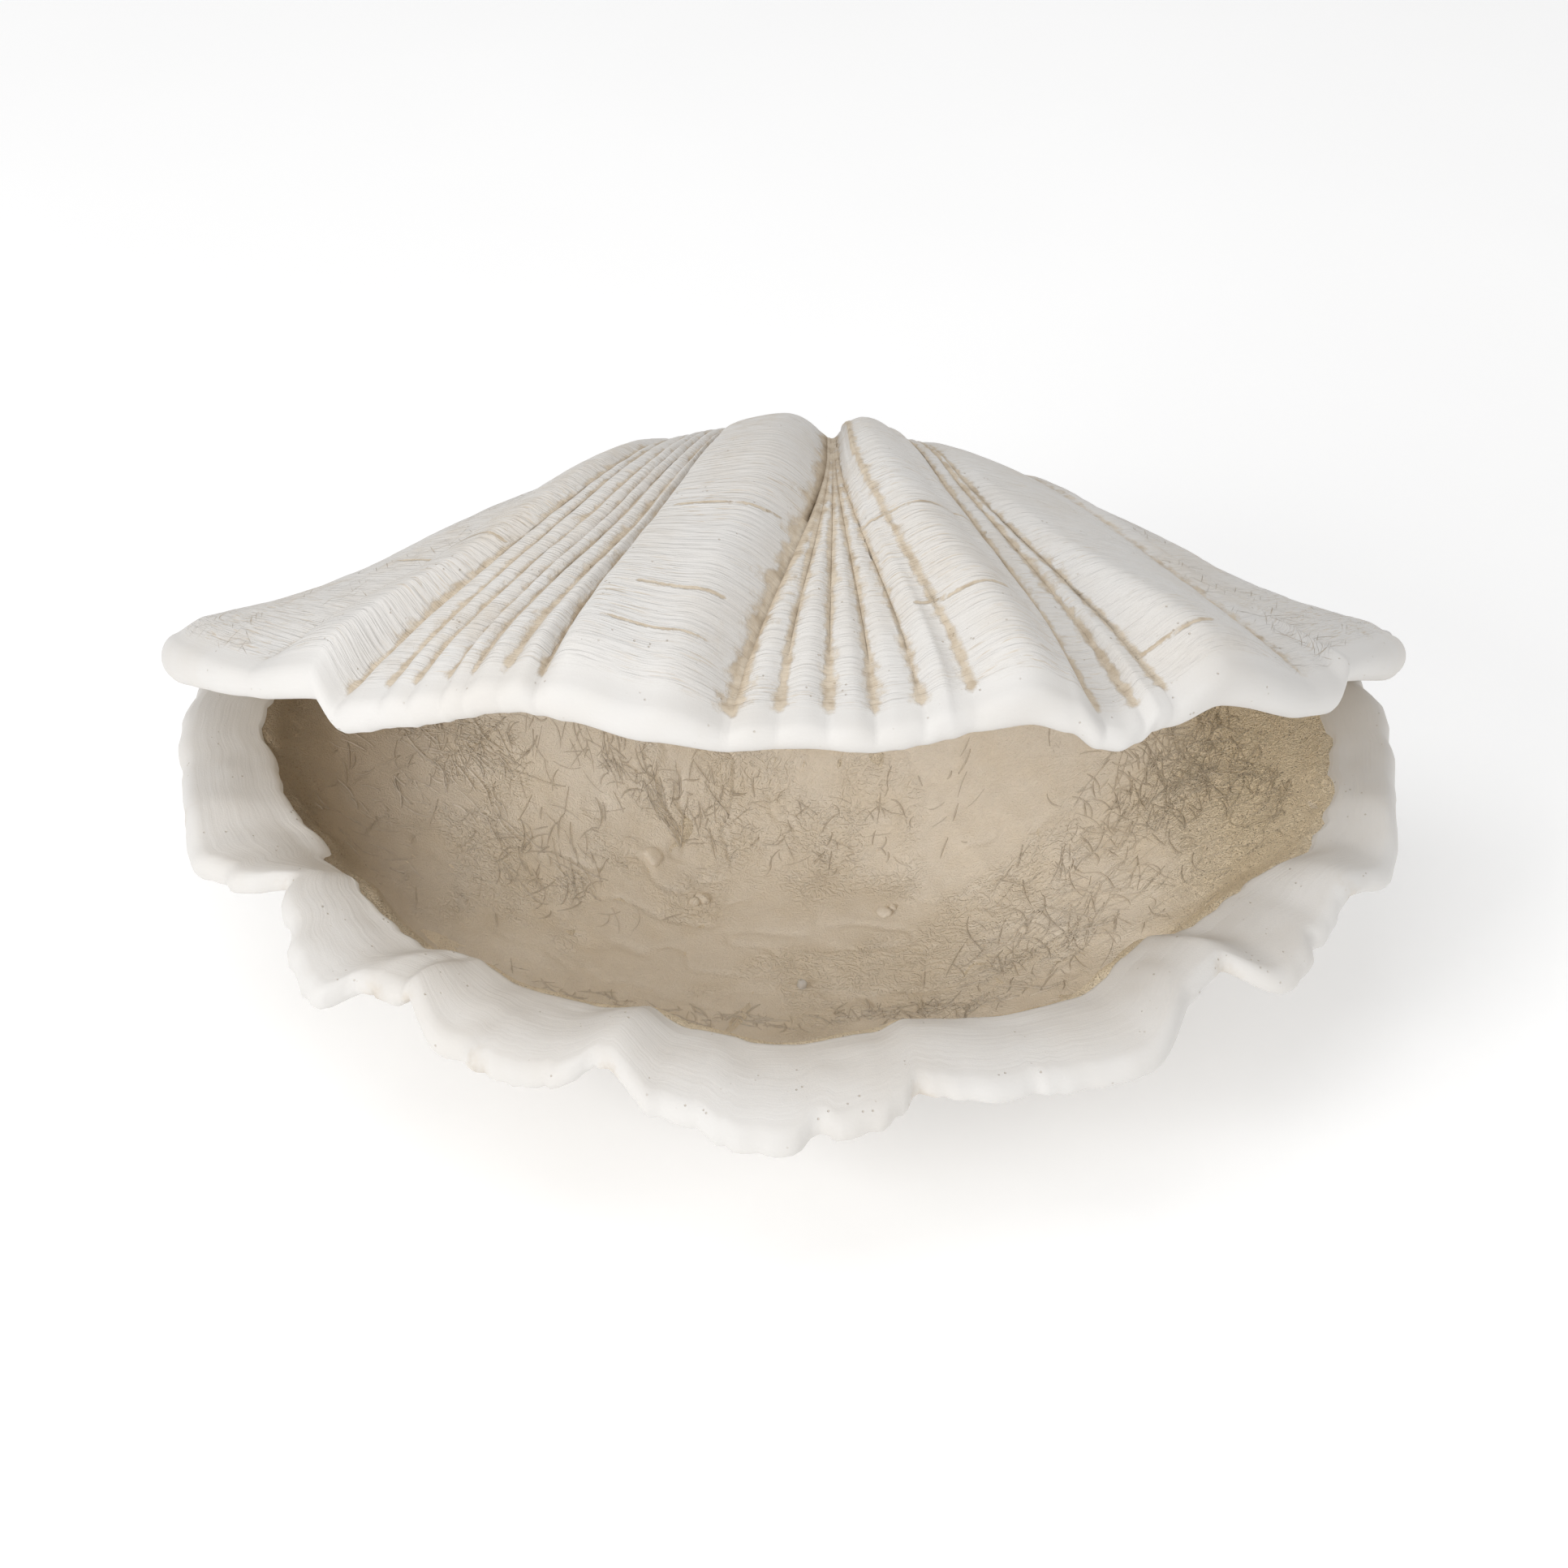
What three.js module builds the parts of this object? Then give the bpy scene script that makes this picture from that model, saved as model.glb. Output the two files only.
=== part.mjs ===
// A large half-open clam shell cast as an ornament: two ruffled valves that meet along a straight hinge line.
// Millimetres, Z up. The flat foot under the lower valve is at z = 0 and its centre is the origin. The mouth
// opens toward -Y, the hinge line runs along X at the back.
//
// Each valve is grown like a real one. Its margin is an outline in one plane through the hinge line. Going back
// in age the outline shrinks toward the umbo and turns about the hinge line. Ribs, grooves and folds are
// stations across that fan, and every station gives its own height, so the ribs die out toward the umbo.

import * as THREE from 'three';

// Place of the hinge line above and behind the foot.
const HINGE_BACK = 150;
const HINGE_HEIGHT = 130;

// Growth, shared by both valves.
const UMBO_X = 30;
const OUTLINE_POWER = 2.5;
const AGE_SPAN = 2.45;
const BEAK_POWER = 6;
const EARLY_SIZE = 0.55;

// Where the two valves meet. The hinge faces lie halfway between the two margin planes.
const OPENING_DEG = 29;
const HINGE_GAP = 0.3;
const BACK_EDGE_HEIGHT = 7;
const HINGE_FACE_WIDTH = 22;
const HINGE_END_WALL = 14;
const HINGE_REACH = 45;

// Floor of the bowl over the foot, and the step from the flange of the lower valve to its wall.
const FLOOR_WALL = 10;
const BRIM_STEP = 0.13;
const BRIM_LIP = 0.05;
const RELIEF_END = 25;

// Mesh density of the solids.
const DEGREES_PER_COLUMN = 4;
const FLANGE_ROWS = 3;
const WALL_ROWS = 2;
const LIP_ROWS = 4;
const OUTER_BACK_ROWS = 15;
const INNER_BACK_ROWS = 6;
const INNER_LAST_AGE = 1.6;
const UPPER_ROW_BRIM = 0.8;

// Stations from the left end of the hinge round the front to the right end:
// fan angle at the margin, fan angle when young, rib height at the margin, rib height when young,
// fold of the edge away from the mouth, fold of the edge outward, size at which the painted brim ends.
const UPPER = {
  side: 1,
  tilt: OPENING_DEG,
  halfWidth: 382,
  reach: 438,
  slope: 1.05,
  flangeSlope: 1,
  ribPower: 0.9,
  lip: 22,
  lipRoot: 1.25,
  lipRound: 0.9,
  wall: 11,
  marginRelief: 0.45,
  lipRelief: 0.2,
  wallRelief: 0.3,
  reliefSize: 0.9,
  edgeSize: 0.72,
  roll: 0,
  rollWidth: 40,
  stations: [
    [-90, -90, 0, 0, 8, 0, 0.95],
    [-76, -62, 12, 13, 14, 0, 0.95],
    [-54, -43, -8, 0, 17, 0, 0.95],
    [-44.5, -33, 8, 14, 20, 0, 0.95],
    [-41.5, -30, -9, -3, 3, 0, 0.95],
    [-39, -28, 2, 5, 4, 0, 0.95],
    [-36.5, -27, -5, -2, 7, 0, 0.95],
    [-35, -25.5, 3, 5, 8, 0, 0.95],
    [-33.5, -23.5, -4, -3, 9, 0, 0.95],
    [-32, -22, 4, 5, 11, 0, 0.95],
    [-30, -20.8, -4, -4, 13, 0, 0.95],
    [-28.8, -20, 4, 5, 15, 0, 0.95],
    [-27.6, -19, -3, -3, 16, 0, 0.95],
    [-26, -17.8, 4, 5, 18, 0, 0.95],
    [-24.3, -16.5, -4, -3, 19, 0, 0.95],
    [-22.5, -16, 4, 4, 20, 0, 0.95],
    [-21, -15.5, -6, -7, 18, 0, 0.95],
    [-18.5, -13.5, 16, 13, 14, 0, 0.95],
    [-11, -5, 12, 20, 4, 0, 0.95],
    [-4.6, 3.4, -16, -20, -1, 0, 0.95],
    [-2.6, 3.6, -5, -19, -1, 0, 0.95],
    [-0.5, 3.8, -12, -21, 0, 0, 0.95],
    [1.6, 4.1, -4, -19, 0, 0, 0.95],
    [3.7, 4.3, -12, -22, 0, 0, 0.95],
    [5.8, 4.5, -4, -19, -1, 0, 0.95],
    [7.7, 4.7, -12, -21, -2, 0, 0.95],
    [9.7, 5, -4, -18, -1, 0, 0.95],
    [11.8, 5.4, -10, -18, 2, 0, 0.95],
    [14, 6.4, 1, -4, 5, 0, 0.95],
    [16.2, 7.4, -6, 6, 9, 0, 0.95],
    [21, 10.5, 16, 16, 12, 0, 0.95],
    [25, 15, 6, 5, 7, 0, 0.95],
    [28, 19.4, -12, -12, -2, 0, 0.95],
    [30, 21, -8, -7, -4, 0, 0.95],
    [32, 22, -12, -12, 0, 0, 0.95],
    [33.5, 22.6, -7, -8, 6, 0, 0.95],
    [35, 23.2, -10, -12, 8, 0, 0.95],
    [41, 27, 12, -4, 18, 0, 0.95],
    [53, 44, -2, -6, 6, 0, 0.95],
    [57, 47, 4, 1, 6, 0, 0.95],
    [60, 50, -9, -3, 22, 0, 0.95],
    [75, 64, 8, 11, 15, 0, 0.95],
    [90, 90, 0, 0, 8, 0, 0.95],
  ],
};

const LOWER = {
  side: -1,
  tilt: 0,
  halfWidth: 370,
  reach: 440,
  slope: 0.95,
  flangeSlope: 0.33,
  ribPower: 1.25,
  lip: 17,
  lipRoot: 0.9,
  lipRound: 0.9,
  wall: 10,
  marginRelief: 0.8,
  lipRelief: 0.5,
  wallRelief: 0.1,
  reliefSize: 0.9,
  edgeSize: 0.78,
  roll: 15,
  rollWidth: 45,
  stations: [
    [-90, -90, 0, 0, 0, -20, 0.905],
    [-80, -70, 5, 9, 2, 4, 0.9],
    [-72, -60, -2, -8, -2, 8, 0.89],
    [-68, -54, 5, 9, 2, 10, 0.868],
    [-57.5, -44, -6, -11, -9, -20, 0.885],
    [-47, -33, 5, 11, 4, 2, 0.868],
    [-42, -29, -2, -4, -3, -18, 0.872],
    [-40, -27, 1, 2, -2, -24, 0.875],
    [-38, -25, -5, -10, -7, -19, 0.875],
    [-32, -21, 3, 8, 2, -8, 0.87],
    [-28, -18, -1, -3, 0, 2, 0.868],
    [-23, -15, 3, 8, 1, 1, 0.868],
    [-16, -9, -6, -11, -8, -9, 0.885],
    [-10, -5, 2, 5, 2, 13, 0.885],
    [-1, 1, 4, 12, 4, 35, 0.888],
    [8, 6, 2, 5, 2, 19, 0.886],
    [12, 9, -2, -8, -1, 0, 0.888],
    [23, 15, 3, 9, 2, 7, 0.892],
    [33, 21, 3, 8, 2, 14, 0.886],
    [40, 27, -4, -6, -5, -9, 0.878],
    [45, 32, -6, -11, -10, -15, 0.87],
    [51, 37, 5, 10, 3, 10, 0.868],
    [57, 42, 3, 7, 2, 7, 0.88],
    [62, 47, -4, -10, -5, 10, 0.908],
    [68, 54, 5, 8, 3, 23, 0.912],
    [73, 60, -2, -5, -1, 16, 0.935],
    [79, 68, 4, 8, 2, 10, 0.93],
    [90, 90, 0, 0, 0, -20, 0.89],
  ],
};

const radians = THREE.MathUtils.degToRad;
const mix = THREE.MathUtils.lerp;

function ease(value) {
  const t = THREE.MathUtils.clamp(value, 0, 1);
  return t * t * (3 - 2 * t);
}

// Directions in a valve's own frame, where y runs forward in the margin plane and z out of the shell:
// ALONG lies in the hinge face, AWAY stands on it.
const HALF_OPENING = radians(OPENING_DEG / 2);
const ALONG = new THREE.Vector3(0, Math.cos(HALF_OPENING), -Math.sin(HALF_OPENING));
const AWAY = new THREE.Vector3(0, Math.sin(HALF_OPENING), Math.cos(HALF_OPENING));

// Values at a place u across the stations. A rib is round on top and sharp in the valley.
function stationAt(valve, u) {
  const index = Math.min(Math.floor(u), valve.stations.length - 2);
  const t = u - index;
  const [from, to] = [valve.stations[index], valve.stations[index + 1]];
  const rising = to[2] + to[3] > from[2] + from[3];
  const upward = Math.sin(Math.PI / 2 * t) ** valve.ribPower;
  const downward = 1 - Math.sin(Math.PI / 2 * (1 - t)) ** valve.ribPower;
  const rib = rising ? upward : downward;
  const blends = [t, t, rib, rib, ease(t), rib, ease(t)];
  const [fan, youngFan, height, youngHeight, lift, spread, brim] =
    blends.map((blend, k) => mix(from[k], to[k], blend));
  return { fan, youngFan, height, youngHeight, lift, spread, rim: -Math.log(brim) };
}

// The smooth shell without ribs. Age is 0 at the margin and AGE_SPAN at the umbo.
function smoothShell(valve, fan, rim, age) {
  const beak = Math.sqrt(Math.max(1 - (age / AGE_SPAN) ** BEAK_POWER, 0));
  const size = Math.exp(-age) * beak;
  const turn = valve.slope * age * mix(valve.flangeSlope, 1, ease((age - rim) / BRIM_STEP));
  const across = Math.sin(radians(fan));
  const outline = Math.max(1 - Math.abs(across) ** OUTLINE_POWER, 0) ** (1 / OUTLINE_POWER);
  const distance = size * valve.reach * outline;
  return new THREE.Vector3(
    UMBO_X + size * (valve.halfWidth * across - UMBO_X),
    distance * Math.cos(turn),
    distance * Math.sin(turn),
  );
}

function outwardNormal(valve, fan, rim, age) {
  const fanStep = 0.3;
  const ageStep = 0.007;
  const endFan = 89.4;
  const clamp = THREE.MathUtils.clamp;
  const inner = clamp(fan, -endFan, endFan);
  const right = smoothShell(valve, clamp(fan + fanStep, -endFan, 90), rim, age);
  const left = smoothShell(valve, clamp(fan - fanStep, -90, endFan), rim, age);
  const older = smoothShell(valve, inner, rim, clamp(age + ageStep, 2 * ageStep, AGE_SPAN - ageStep));
  const younger = smoothShell(valve, inner, rim, clamp(age - ageStep, 0, AGE_SPAN - 3 * ageStep));
  return older.sub(younger).cross(right.sub(left)).normalize();
}

function raise(point, height) {
  return point.addScaledVector(AWAY, height - point.dot(AWAY));
}

// A point of the outer or the inner face, in the valve's own frame.
function facePoint(valve, u, age, isInner) {
  const at = stationAt(valve, u);
  const size = Math.exp(-age);
  const late = ease((size - EARLY_SIZE) / (1 - EARLY_SIZE));
  const edge = ease((size - valve.edgeSize) / (1 - valve.edgeSize));
  const fromMargin = (1 - size) * valve.reach;
  const fan = mix(at.youngFan, at.fan, late);
  const point = smoothShell(valve, fan, at.rim, age);
  const fromHinge = Math.hypot(point.y, point.z);
  const smoothX = point.x;
  const normal = outwardNormal(valve, fan, at.rim, age);
  const relief = mix(at.youngHeight, at.height, late) * size;
  const spread = new THREE.Vector3(point.x - UMBO_X, point.y, 0);
  spread.divideScalar(Math.max(spread.length(), 1)).multiplyScalar(at.spread * edge);
  const front = Math.max(Math.cos(radians(fan)), 0);
  const rolled = valve.roll * front * Math.max(1 - fromMargin / valve.rollWidth, 0) ** 2;
  spread.z = at.lift * edge + rolled;

  if (!isInner) {
    const flattened = mix(valve.marginRelief, 1, ease(fromMargin / RELIEF_END));
    point.addScaledVector(normal, relief * flattened).add(spread);
    return raise(point, Math.hypot(point.dot(AWAY), BACK_EDGE_HEIGHT));
  }
  const pastBrim = ease((age - at.rim) / BRIM_LIP);
  const inset = mix(valve.lip * mix(valve.lipRoot, 1, edge), valve.wall, pastBrim);
  const nearEdge = ease((size - valve.reliefSize) / (1 - valve.reliefSize));
  const share = mix(valve.wallRelief, valve.lipRelief, nearEdge);
  point.addScaledVector(normal, relief * share - inset).add(spread);
  const hinge = new THREE.Vector3(smoothX + Math.sign(UMBO_X - smoothX) * HINGE_END_WALL * size, 0, 0);
  hinge.addScaledVector(ALONG, HINGE_FACE_WIDTH);
  point.lerp(hinge, 1 - ease(fromHinge / HINGE_REACH));
  return raise(point, Math.max(point.dot(AWAY), 0));
}

// The rounded edge between the two faces at the margin, step 0 at the outer face and LIP_ROWS at the inner.
function lipPoint(valve, u, step) {
  const outer = facePoint(valve, u, 0, false);
  const inner = facePoint(valve, u, 0, true);
  const ahead = outer.clone().sub(facePoint(valve, u, 0.05, false)).normalize();
  const turn = Math.PI * step / LIP_ROWS;
  const halfThickness = outer.distanceTo(inner) / 2;
  const point = outer.clone().add(inner).multiplyScalar(0.5);
  point.addScaledVector(outer.sub(inner), Math.cos(turn) / 2);
  point.addScaledVector(ahead, halfThickness * valve.lipRound * Math.sin(turn));
  const atEnd = u === 0 || u === valve.stations.length - 1;
  return atEnd ? raise(point, Math.max(point.dot(AWAY), 0)) : point;
}

function toWorld(valve, point) {
  point.addScaledVector(AWAY, HINGE_GAP / 2);
  const tilt = radians(valve.tilt);
  return new THREE.Vector3(
    point.x,
    HINGE_BACK - point.y * Math.cos(tilt) + valve.side * point.z * Math.sin(tilt),
    HINGE_HEIGHT + point.y * Math.sin(tilt) + valve.side * point.z * Math.cos(tilt),
  );
}

// Ages of the rows from the margin back: across the flange, down the step behind it, then to the last age.
function rowAges(rim, backRows, lastAge) {
  const ages = [];
  for (let k = 0; k < FLANGE_ROWS; k += 1) {
    ages.push(rim * k / FLANGE_ROWS);
  }
  for (let k = 0; k < WALL_ROWS; k += 1) {
    ages.push(rim + BRIM_STEP * k / WALL_ROWS);
  }
  const start = rim + BRIM_STEP;
  for (let k = 0; k <= backRows; k += 1) {
    const t = k / backRows;
    ages.push(mix(start, lastAge, t + 0.12 * Math.sin(Math.PI * t)));
  }
  return ages;
}

// Places across the stations, so that wide gaps between two stations get more columns than narrow ones.
function columnPlaces(valve) {
  const places = [0];
  for (let k = 1; k < valve.stations.length; k += 1) {
    const gap = valve.stations[k][0] - valve.stations[k - 1][0];
    const parts = Math.ceil(gap / DEGREES_PER_COLUMN);
    for (let part = 1; part <= parts; part += 1) {
      places.push(k - 1 + part / parts);
    }
  }
  return places;
}

function makeValve(name, valve, color) {
  const places = columnPlaces(valve);
  const last = places.length - 1;
  const hasFoot = valve.side < 0;
  const points = [];
  const triangles = [];
  const add = (localPoint, floor) => {
    const point = toWorld(valve, localPoint);
    point.z = hasFoot ? Math.max(point.z, floor) : point.z;
    points.push(point);
    return points.length - 1;
  };

  // Rows of vertex numbers from the umbo over the outer face, round the lip and back along the inner face.
  const pole = add(facePoint(valve, 0, AGE_SPAN, false), 0);
  const columns = places.map((u) => {
    const rim = stationAt(valve, u).rim;
    const outerRim = hasFoot ? rim : -Math.log(UPPER_ROW_BRIM);
    const outerAges = rowAges(outerRim, OUTER_BACK_ROWS, AGE_SPAN).slice(0, -1).reverse();
    const innerAges = rowAges(rim, INNER_BACK_ROWS, INNER_LAST_AGE);
    const column = outerAges.map((age) => add(facePoint(valve, u, age, false), 0));
    for (let step = 1; step < LIP_ROWS; step += 1) {
      column.push(add(lipPoint(valve, u, step), 0));
    }
    return column.concat(innerAges.map((age) => add(facePoint(valve, u, age, true), FLOOR_WALL)));
  });
  const rowCount = columns[0].length;
  const marginRow = FLANGE_ROWS + WALL_ROWS + OUTER_BACK_ROWS - 1;
  const innerRow = marginRow + LIP_ROWS;

  for (let c = 0; c < last; c += 1) {
    const [left, right] = [columns[c], columns[c + 1]];
    triangles.push([pole, right[0], left[0]]);
    for (let r = 0; r < rowCount - 1; r += 1) {
      triangles.push([left[r], right[r], right[r + 1]], [left[r], right[r + 1], left[r + 1]]);
    }
  }

  // The inner face ends at a plain wall in front of the solid umbo.
  const wallFoot = new THREE.Vector3(UMBO_X, 0, 0).addScaledVector(ALONG, HINGE_FACE_WIDTH);
  const wallCentre = add(wallFoot, FLOOR_WALL);
  for (let c = 0; c < last; c += 1) {
    triangles.push([wallCentre, columns[c][rowCount - 1], columns[c + 1][rowCount - 1]]);
  }

  // The back edge stands on the hinge line, under the two end columns of the outer face.
  const hingePole = add(new THREE.Vector3(UMBO_X, 0, 0), 0);
  const hingeLine = (u) => {
    const outerAges = rowAges(hasFoot ? stationAt(valve, u).rim : -Math.log(UPPER_ROW_BRIM),
      OUTER_BACK_ROWS, AGE_SPAN).slice(0, -1).reverse();
    return outerAges.map((age) => {
      const x = facePoint(valve, u, age, false).x;
      return add(new THREE.Vector3(x, 0, 0), 0);
    });
  };
  const backLeft = hingeLine(places[0]);
  const backRight = hingeLine(places[last]);
  triangles.push([pole, columns[0][0], backLeft[0]], [pole, backLeft[0], hingePole]);
  triangles.push([columns[last][0], pole, hingePole], [columns[last][0], hingePole, backRight[0]]);
  for (let r = 0; r < marginRow; r += 1) {
    const [left, right] = [columns[0], columns[last]];
    triangles.push([left[r], left[r + 1], backLeft[r + 1]], [left[r], backLeft[r + 1], backLeft[r]]);
    triangles.push([right[r + 1], right[r], backRight[r]], [right[r + 1], backRight[r], backRight[r + 1]]);
  }
  for (let r = marginRow; r < innerRow; r += 1) {
    triangles.push([backLeft[marginRow], columns[0][r], columns[0][r + 1]]);
    triangles.push([backRight[marginRow], columns[last][r + 1], columns[last][r]]);
  }

  // The flat hinge face, a strip between the hinge line and the inner edge.
  const rear = [...backLeft].reverse().concat([hingePole], backRight);
  const front = columns[0].slice(innerRow).concat([wallCentre], columns[last].slice(innerRow).reverse());
  let [i, k] = [0, 0];
  while (i < rear.length - 1 || k < front.length - 1) {
    const rearNext = i < rear.length - 1 ? points[rear[i + 1]].x : Infinity;
    const frontNext = k < front.length - 1 ? points[front[k + 1]].x : Infinity;
    if (rearNext <= frontNext) {
      triangles.push([rear[i + 1], rear[i], front[k]]);
      i += 1;
    } else {
      triangles.push([front[k], front[k + 1], rear[i]]);
      k += 1;
    }
  }

  const geometry = new THREE.BufferGeometry();
  geometry.setAttribute('position', new THREE.Float32BufferAttribute(points.flatMap((p) => p.toArray()), 3));
  const facingOut = valve.side < 0 ? triangles : triangles.map(([a, b, c]) => [a, c, b]);
  geometry.setIndex(facingOut.flat());
  geometry.computeVertexNormals();
  const material = new THREE.MeshStandardMaterial({ color, roughness: 0.8, metalness: 0 });
  const mesh = new THREE.Mesh(geometry, material);
  mesh.name = name;
  return mesh;
}

const shell = new THREE.Group();
shell.name = 'open_clam_shell';
shell.add(makeValve('upper_valve', UPPER, 0xe9e5df));
shell.add(makeValve('lower_valve', LOWER, 0xe6e2dc));

export default shell;
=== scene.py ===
"""Visual model of a large half-open clam shell ornament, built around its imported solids.

Two painted valves, each with a rough glass-fibre lining laid up inside it. Lengths in the tables are
millimetres in the frame of the solids and become metres when a mesh is made.
"""

import math
from itertools import product
from types import SimpleNamespace

import bpy
import numpy as np
from bpy.props import FloatProperty, FloatVectorProperty, IntProperty, PointerProperty
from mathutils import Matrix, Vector
from mathutils.bvhtree import BVHTree


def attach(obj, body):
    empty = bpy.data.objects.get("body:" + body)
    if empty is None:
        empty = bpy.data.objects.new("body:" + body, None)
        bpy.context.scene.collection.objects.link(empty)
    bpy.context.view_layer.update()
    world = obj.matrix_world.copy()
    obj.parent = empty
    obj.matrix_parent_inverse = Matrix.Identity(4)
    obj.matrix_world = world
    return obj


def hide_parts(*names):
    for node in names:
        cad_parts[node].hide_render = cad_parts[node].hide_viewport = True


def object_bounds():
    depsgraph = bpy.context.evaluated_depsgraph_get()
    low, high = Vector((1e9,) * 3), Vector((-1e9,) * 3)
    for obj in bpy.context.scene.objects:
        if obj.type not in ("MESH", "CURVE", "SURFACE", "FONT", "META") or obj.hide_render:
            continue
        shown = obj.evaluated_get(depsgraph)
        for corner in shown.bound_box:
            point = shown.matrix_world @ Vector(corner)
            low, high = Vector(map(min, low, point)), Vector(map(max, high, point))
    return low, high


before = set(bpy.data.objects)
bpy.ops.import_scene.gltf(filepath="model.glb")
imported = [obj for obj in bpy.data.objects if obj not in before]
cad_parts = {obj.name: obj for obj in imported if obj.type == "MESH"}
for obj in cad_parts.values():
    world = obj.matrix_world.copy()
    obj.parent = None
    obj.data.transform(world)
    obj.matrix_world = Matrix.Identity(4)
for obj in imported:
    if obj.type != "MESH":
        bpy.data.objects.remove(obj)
cad_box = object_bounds()

bl_info = {
    "name": "Open Clam Shell",
    "version": (1, 0, 0),
    "blender": (4, 5, 0),
    "location": "View3D > Sidebar > Clam Shell",
    "description": "Builds a half-open clam shell ornament with painted valves and a raw fibre lining",
    "category": "Add Mesh",
}

MM = 0.001
BOX_MARGIN = 0.02

# Place of the hinge line above and behind the foot.
HINGE_BACK = 150.0
HINGE_HEIGHT = 130.0

# Growth, shared by both valves.
UMBO_X = 30.0
OUTLINE_POWER = 2.5
AGE_SPAN = 2.45
BEAK_POWER = 6
EARLY_SIZE = 0.55
BRIM_STEP = 0.13
BRIM_LIP = 0.05
RELIEF_END = 25.0
INNER_LAST_AGE = 1.6
LIP_BEHIND = 0.05
CENTRE_RIM = 0.2
CENTRE_STEPS = 800

# The hinge faces, halfway between the two margin planes.
HALF_OPENING = math.radians(14.5)
HINGE_GAP = 0.3
BACK_EDGE_HEIGHT = 7.0
HINGE_FACE_WIDTH = 22.0
HINGE_END_WALL = 14.0
HINGE_REACH = 45.0
FLOOR_WALL = 10.0
ALONG = np.array([0.0, math.cos(HALF_OPENING), -math.sin(HALF_OPENING)])
AWAY = np.array([0.0, math.sin(HALF_OPENING), math.cos(HALF_OPENING)])

# Depths under the inner face: the lining and its underside at the paint edge and past it, the lowest hollow
# of the lining, and the hidden back of the skin with the shares of its length at which its rows start.
LINING_DEPTHS = (2.0, 0.7)
UNDERSIDE_DEPTHS = (1.0, 2.4, 3.6)
DEEPEST_HOLLOW = 2.6
SKIN_BACK_DEPTHS = (2.4, 4.6, 5.6)
SKIN_BACK_SHARES = (0.004, 0.012, 0.02)
SKIN_BACK_ROWS = 16

# Walls of the full thickness keep every depth, and walls of the thinnest keep the least share of it. The
# relief cuts at most its share into the wall from outside.
FULL_WALL = 11.0
THINNEST_WALL = 3.0
LEAST_SHARE = 0.08
CUT_SHARE = 0.35

# Heights at which the flat bottom of each layer of the lower valve ends, and the softness of its edge.
SKIN_BACK_FLOOR = 5.0
UNDERSIDE_FLOOR = 6.5
LOWEST_LINING = 8.0
FLOOR_SOFTNESS = 4.0

# The fibre lining: how far it starts under the paint and how far past its edge it has its full depth, its
# centre on the hinge face, its rows and those of its underside, how far its relief fades toward the paint,
# and the smoothing where it turns up the front of the umbo.
LINING_TUCK = 5.0
PAST_EDGE = 9.0
LINING_CENTRE_GAP = 1.0
UNDERSIDE_CENTRE_DROP = 2.0
LINING_ROW_POWER = 1.12
UNDERSIDE_FIRST_ROWS = (0, 2, 6)
UNDERSIDE_ROWS = 14
UNDERSIDE_UMBO_ROWS = 4
PAINT_FADE = 10.0
FAR_FROM_EDGE = 500.0
BLEND_ROWS = 14
BLEND_ROUNDS = 24

# Distances over which relief fades in: above the flat of the foot, and above the hinge outside and inside.
FLAT_FOOT = 0.5
FOOT_FADE = 8.0
HINGE_FADE = 8.0
BRIM_HINGE_FADE = 10.0
LINING_HINGE_FADE = 12.0
LINING_HINGE_GAP = 0.25

# The map that the shader effects run over: how far the lip and each row of the hidden back take it.
LIP_MAP = 18.0
BACK_MAP_STEP = 4.0

# Where the lining turns dry to the right and to the left, and where painted shade darkens the left wall to
# the brown of shadow: start and run from the middle. Shares of the dry mat at the right, at the left and
# along the paint edge.
DRY_RIGHT = (150.0, 190.0)
DRY_LEFT = (250.0, 110.0)
PAINTED_SHADE_LEFT = (150.0, 150.0)
DRY_SHARES = (0.95, 0.55, 0.9)
EDGE_RUN = 26.0

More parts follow.
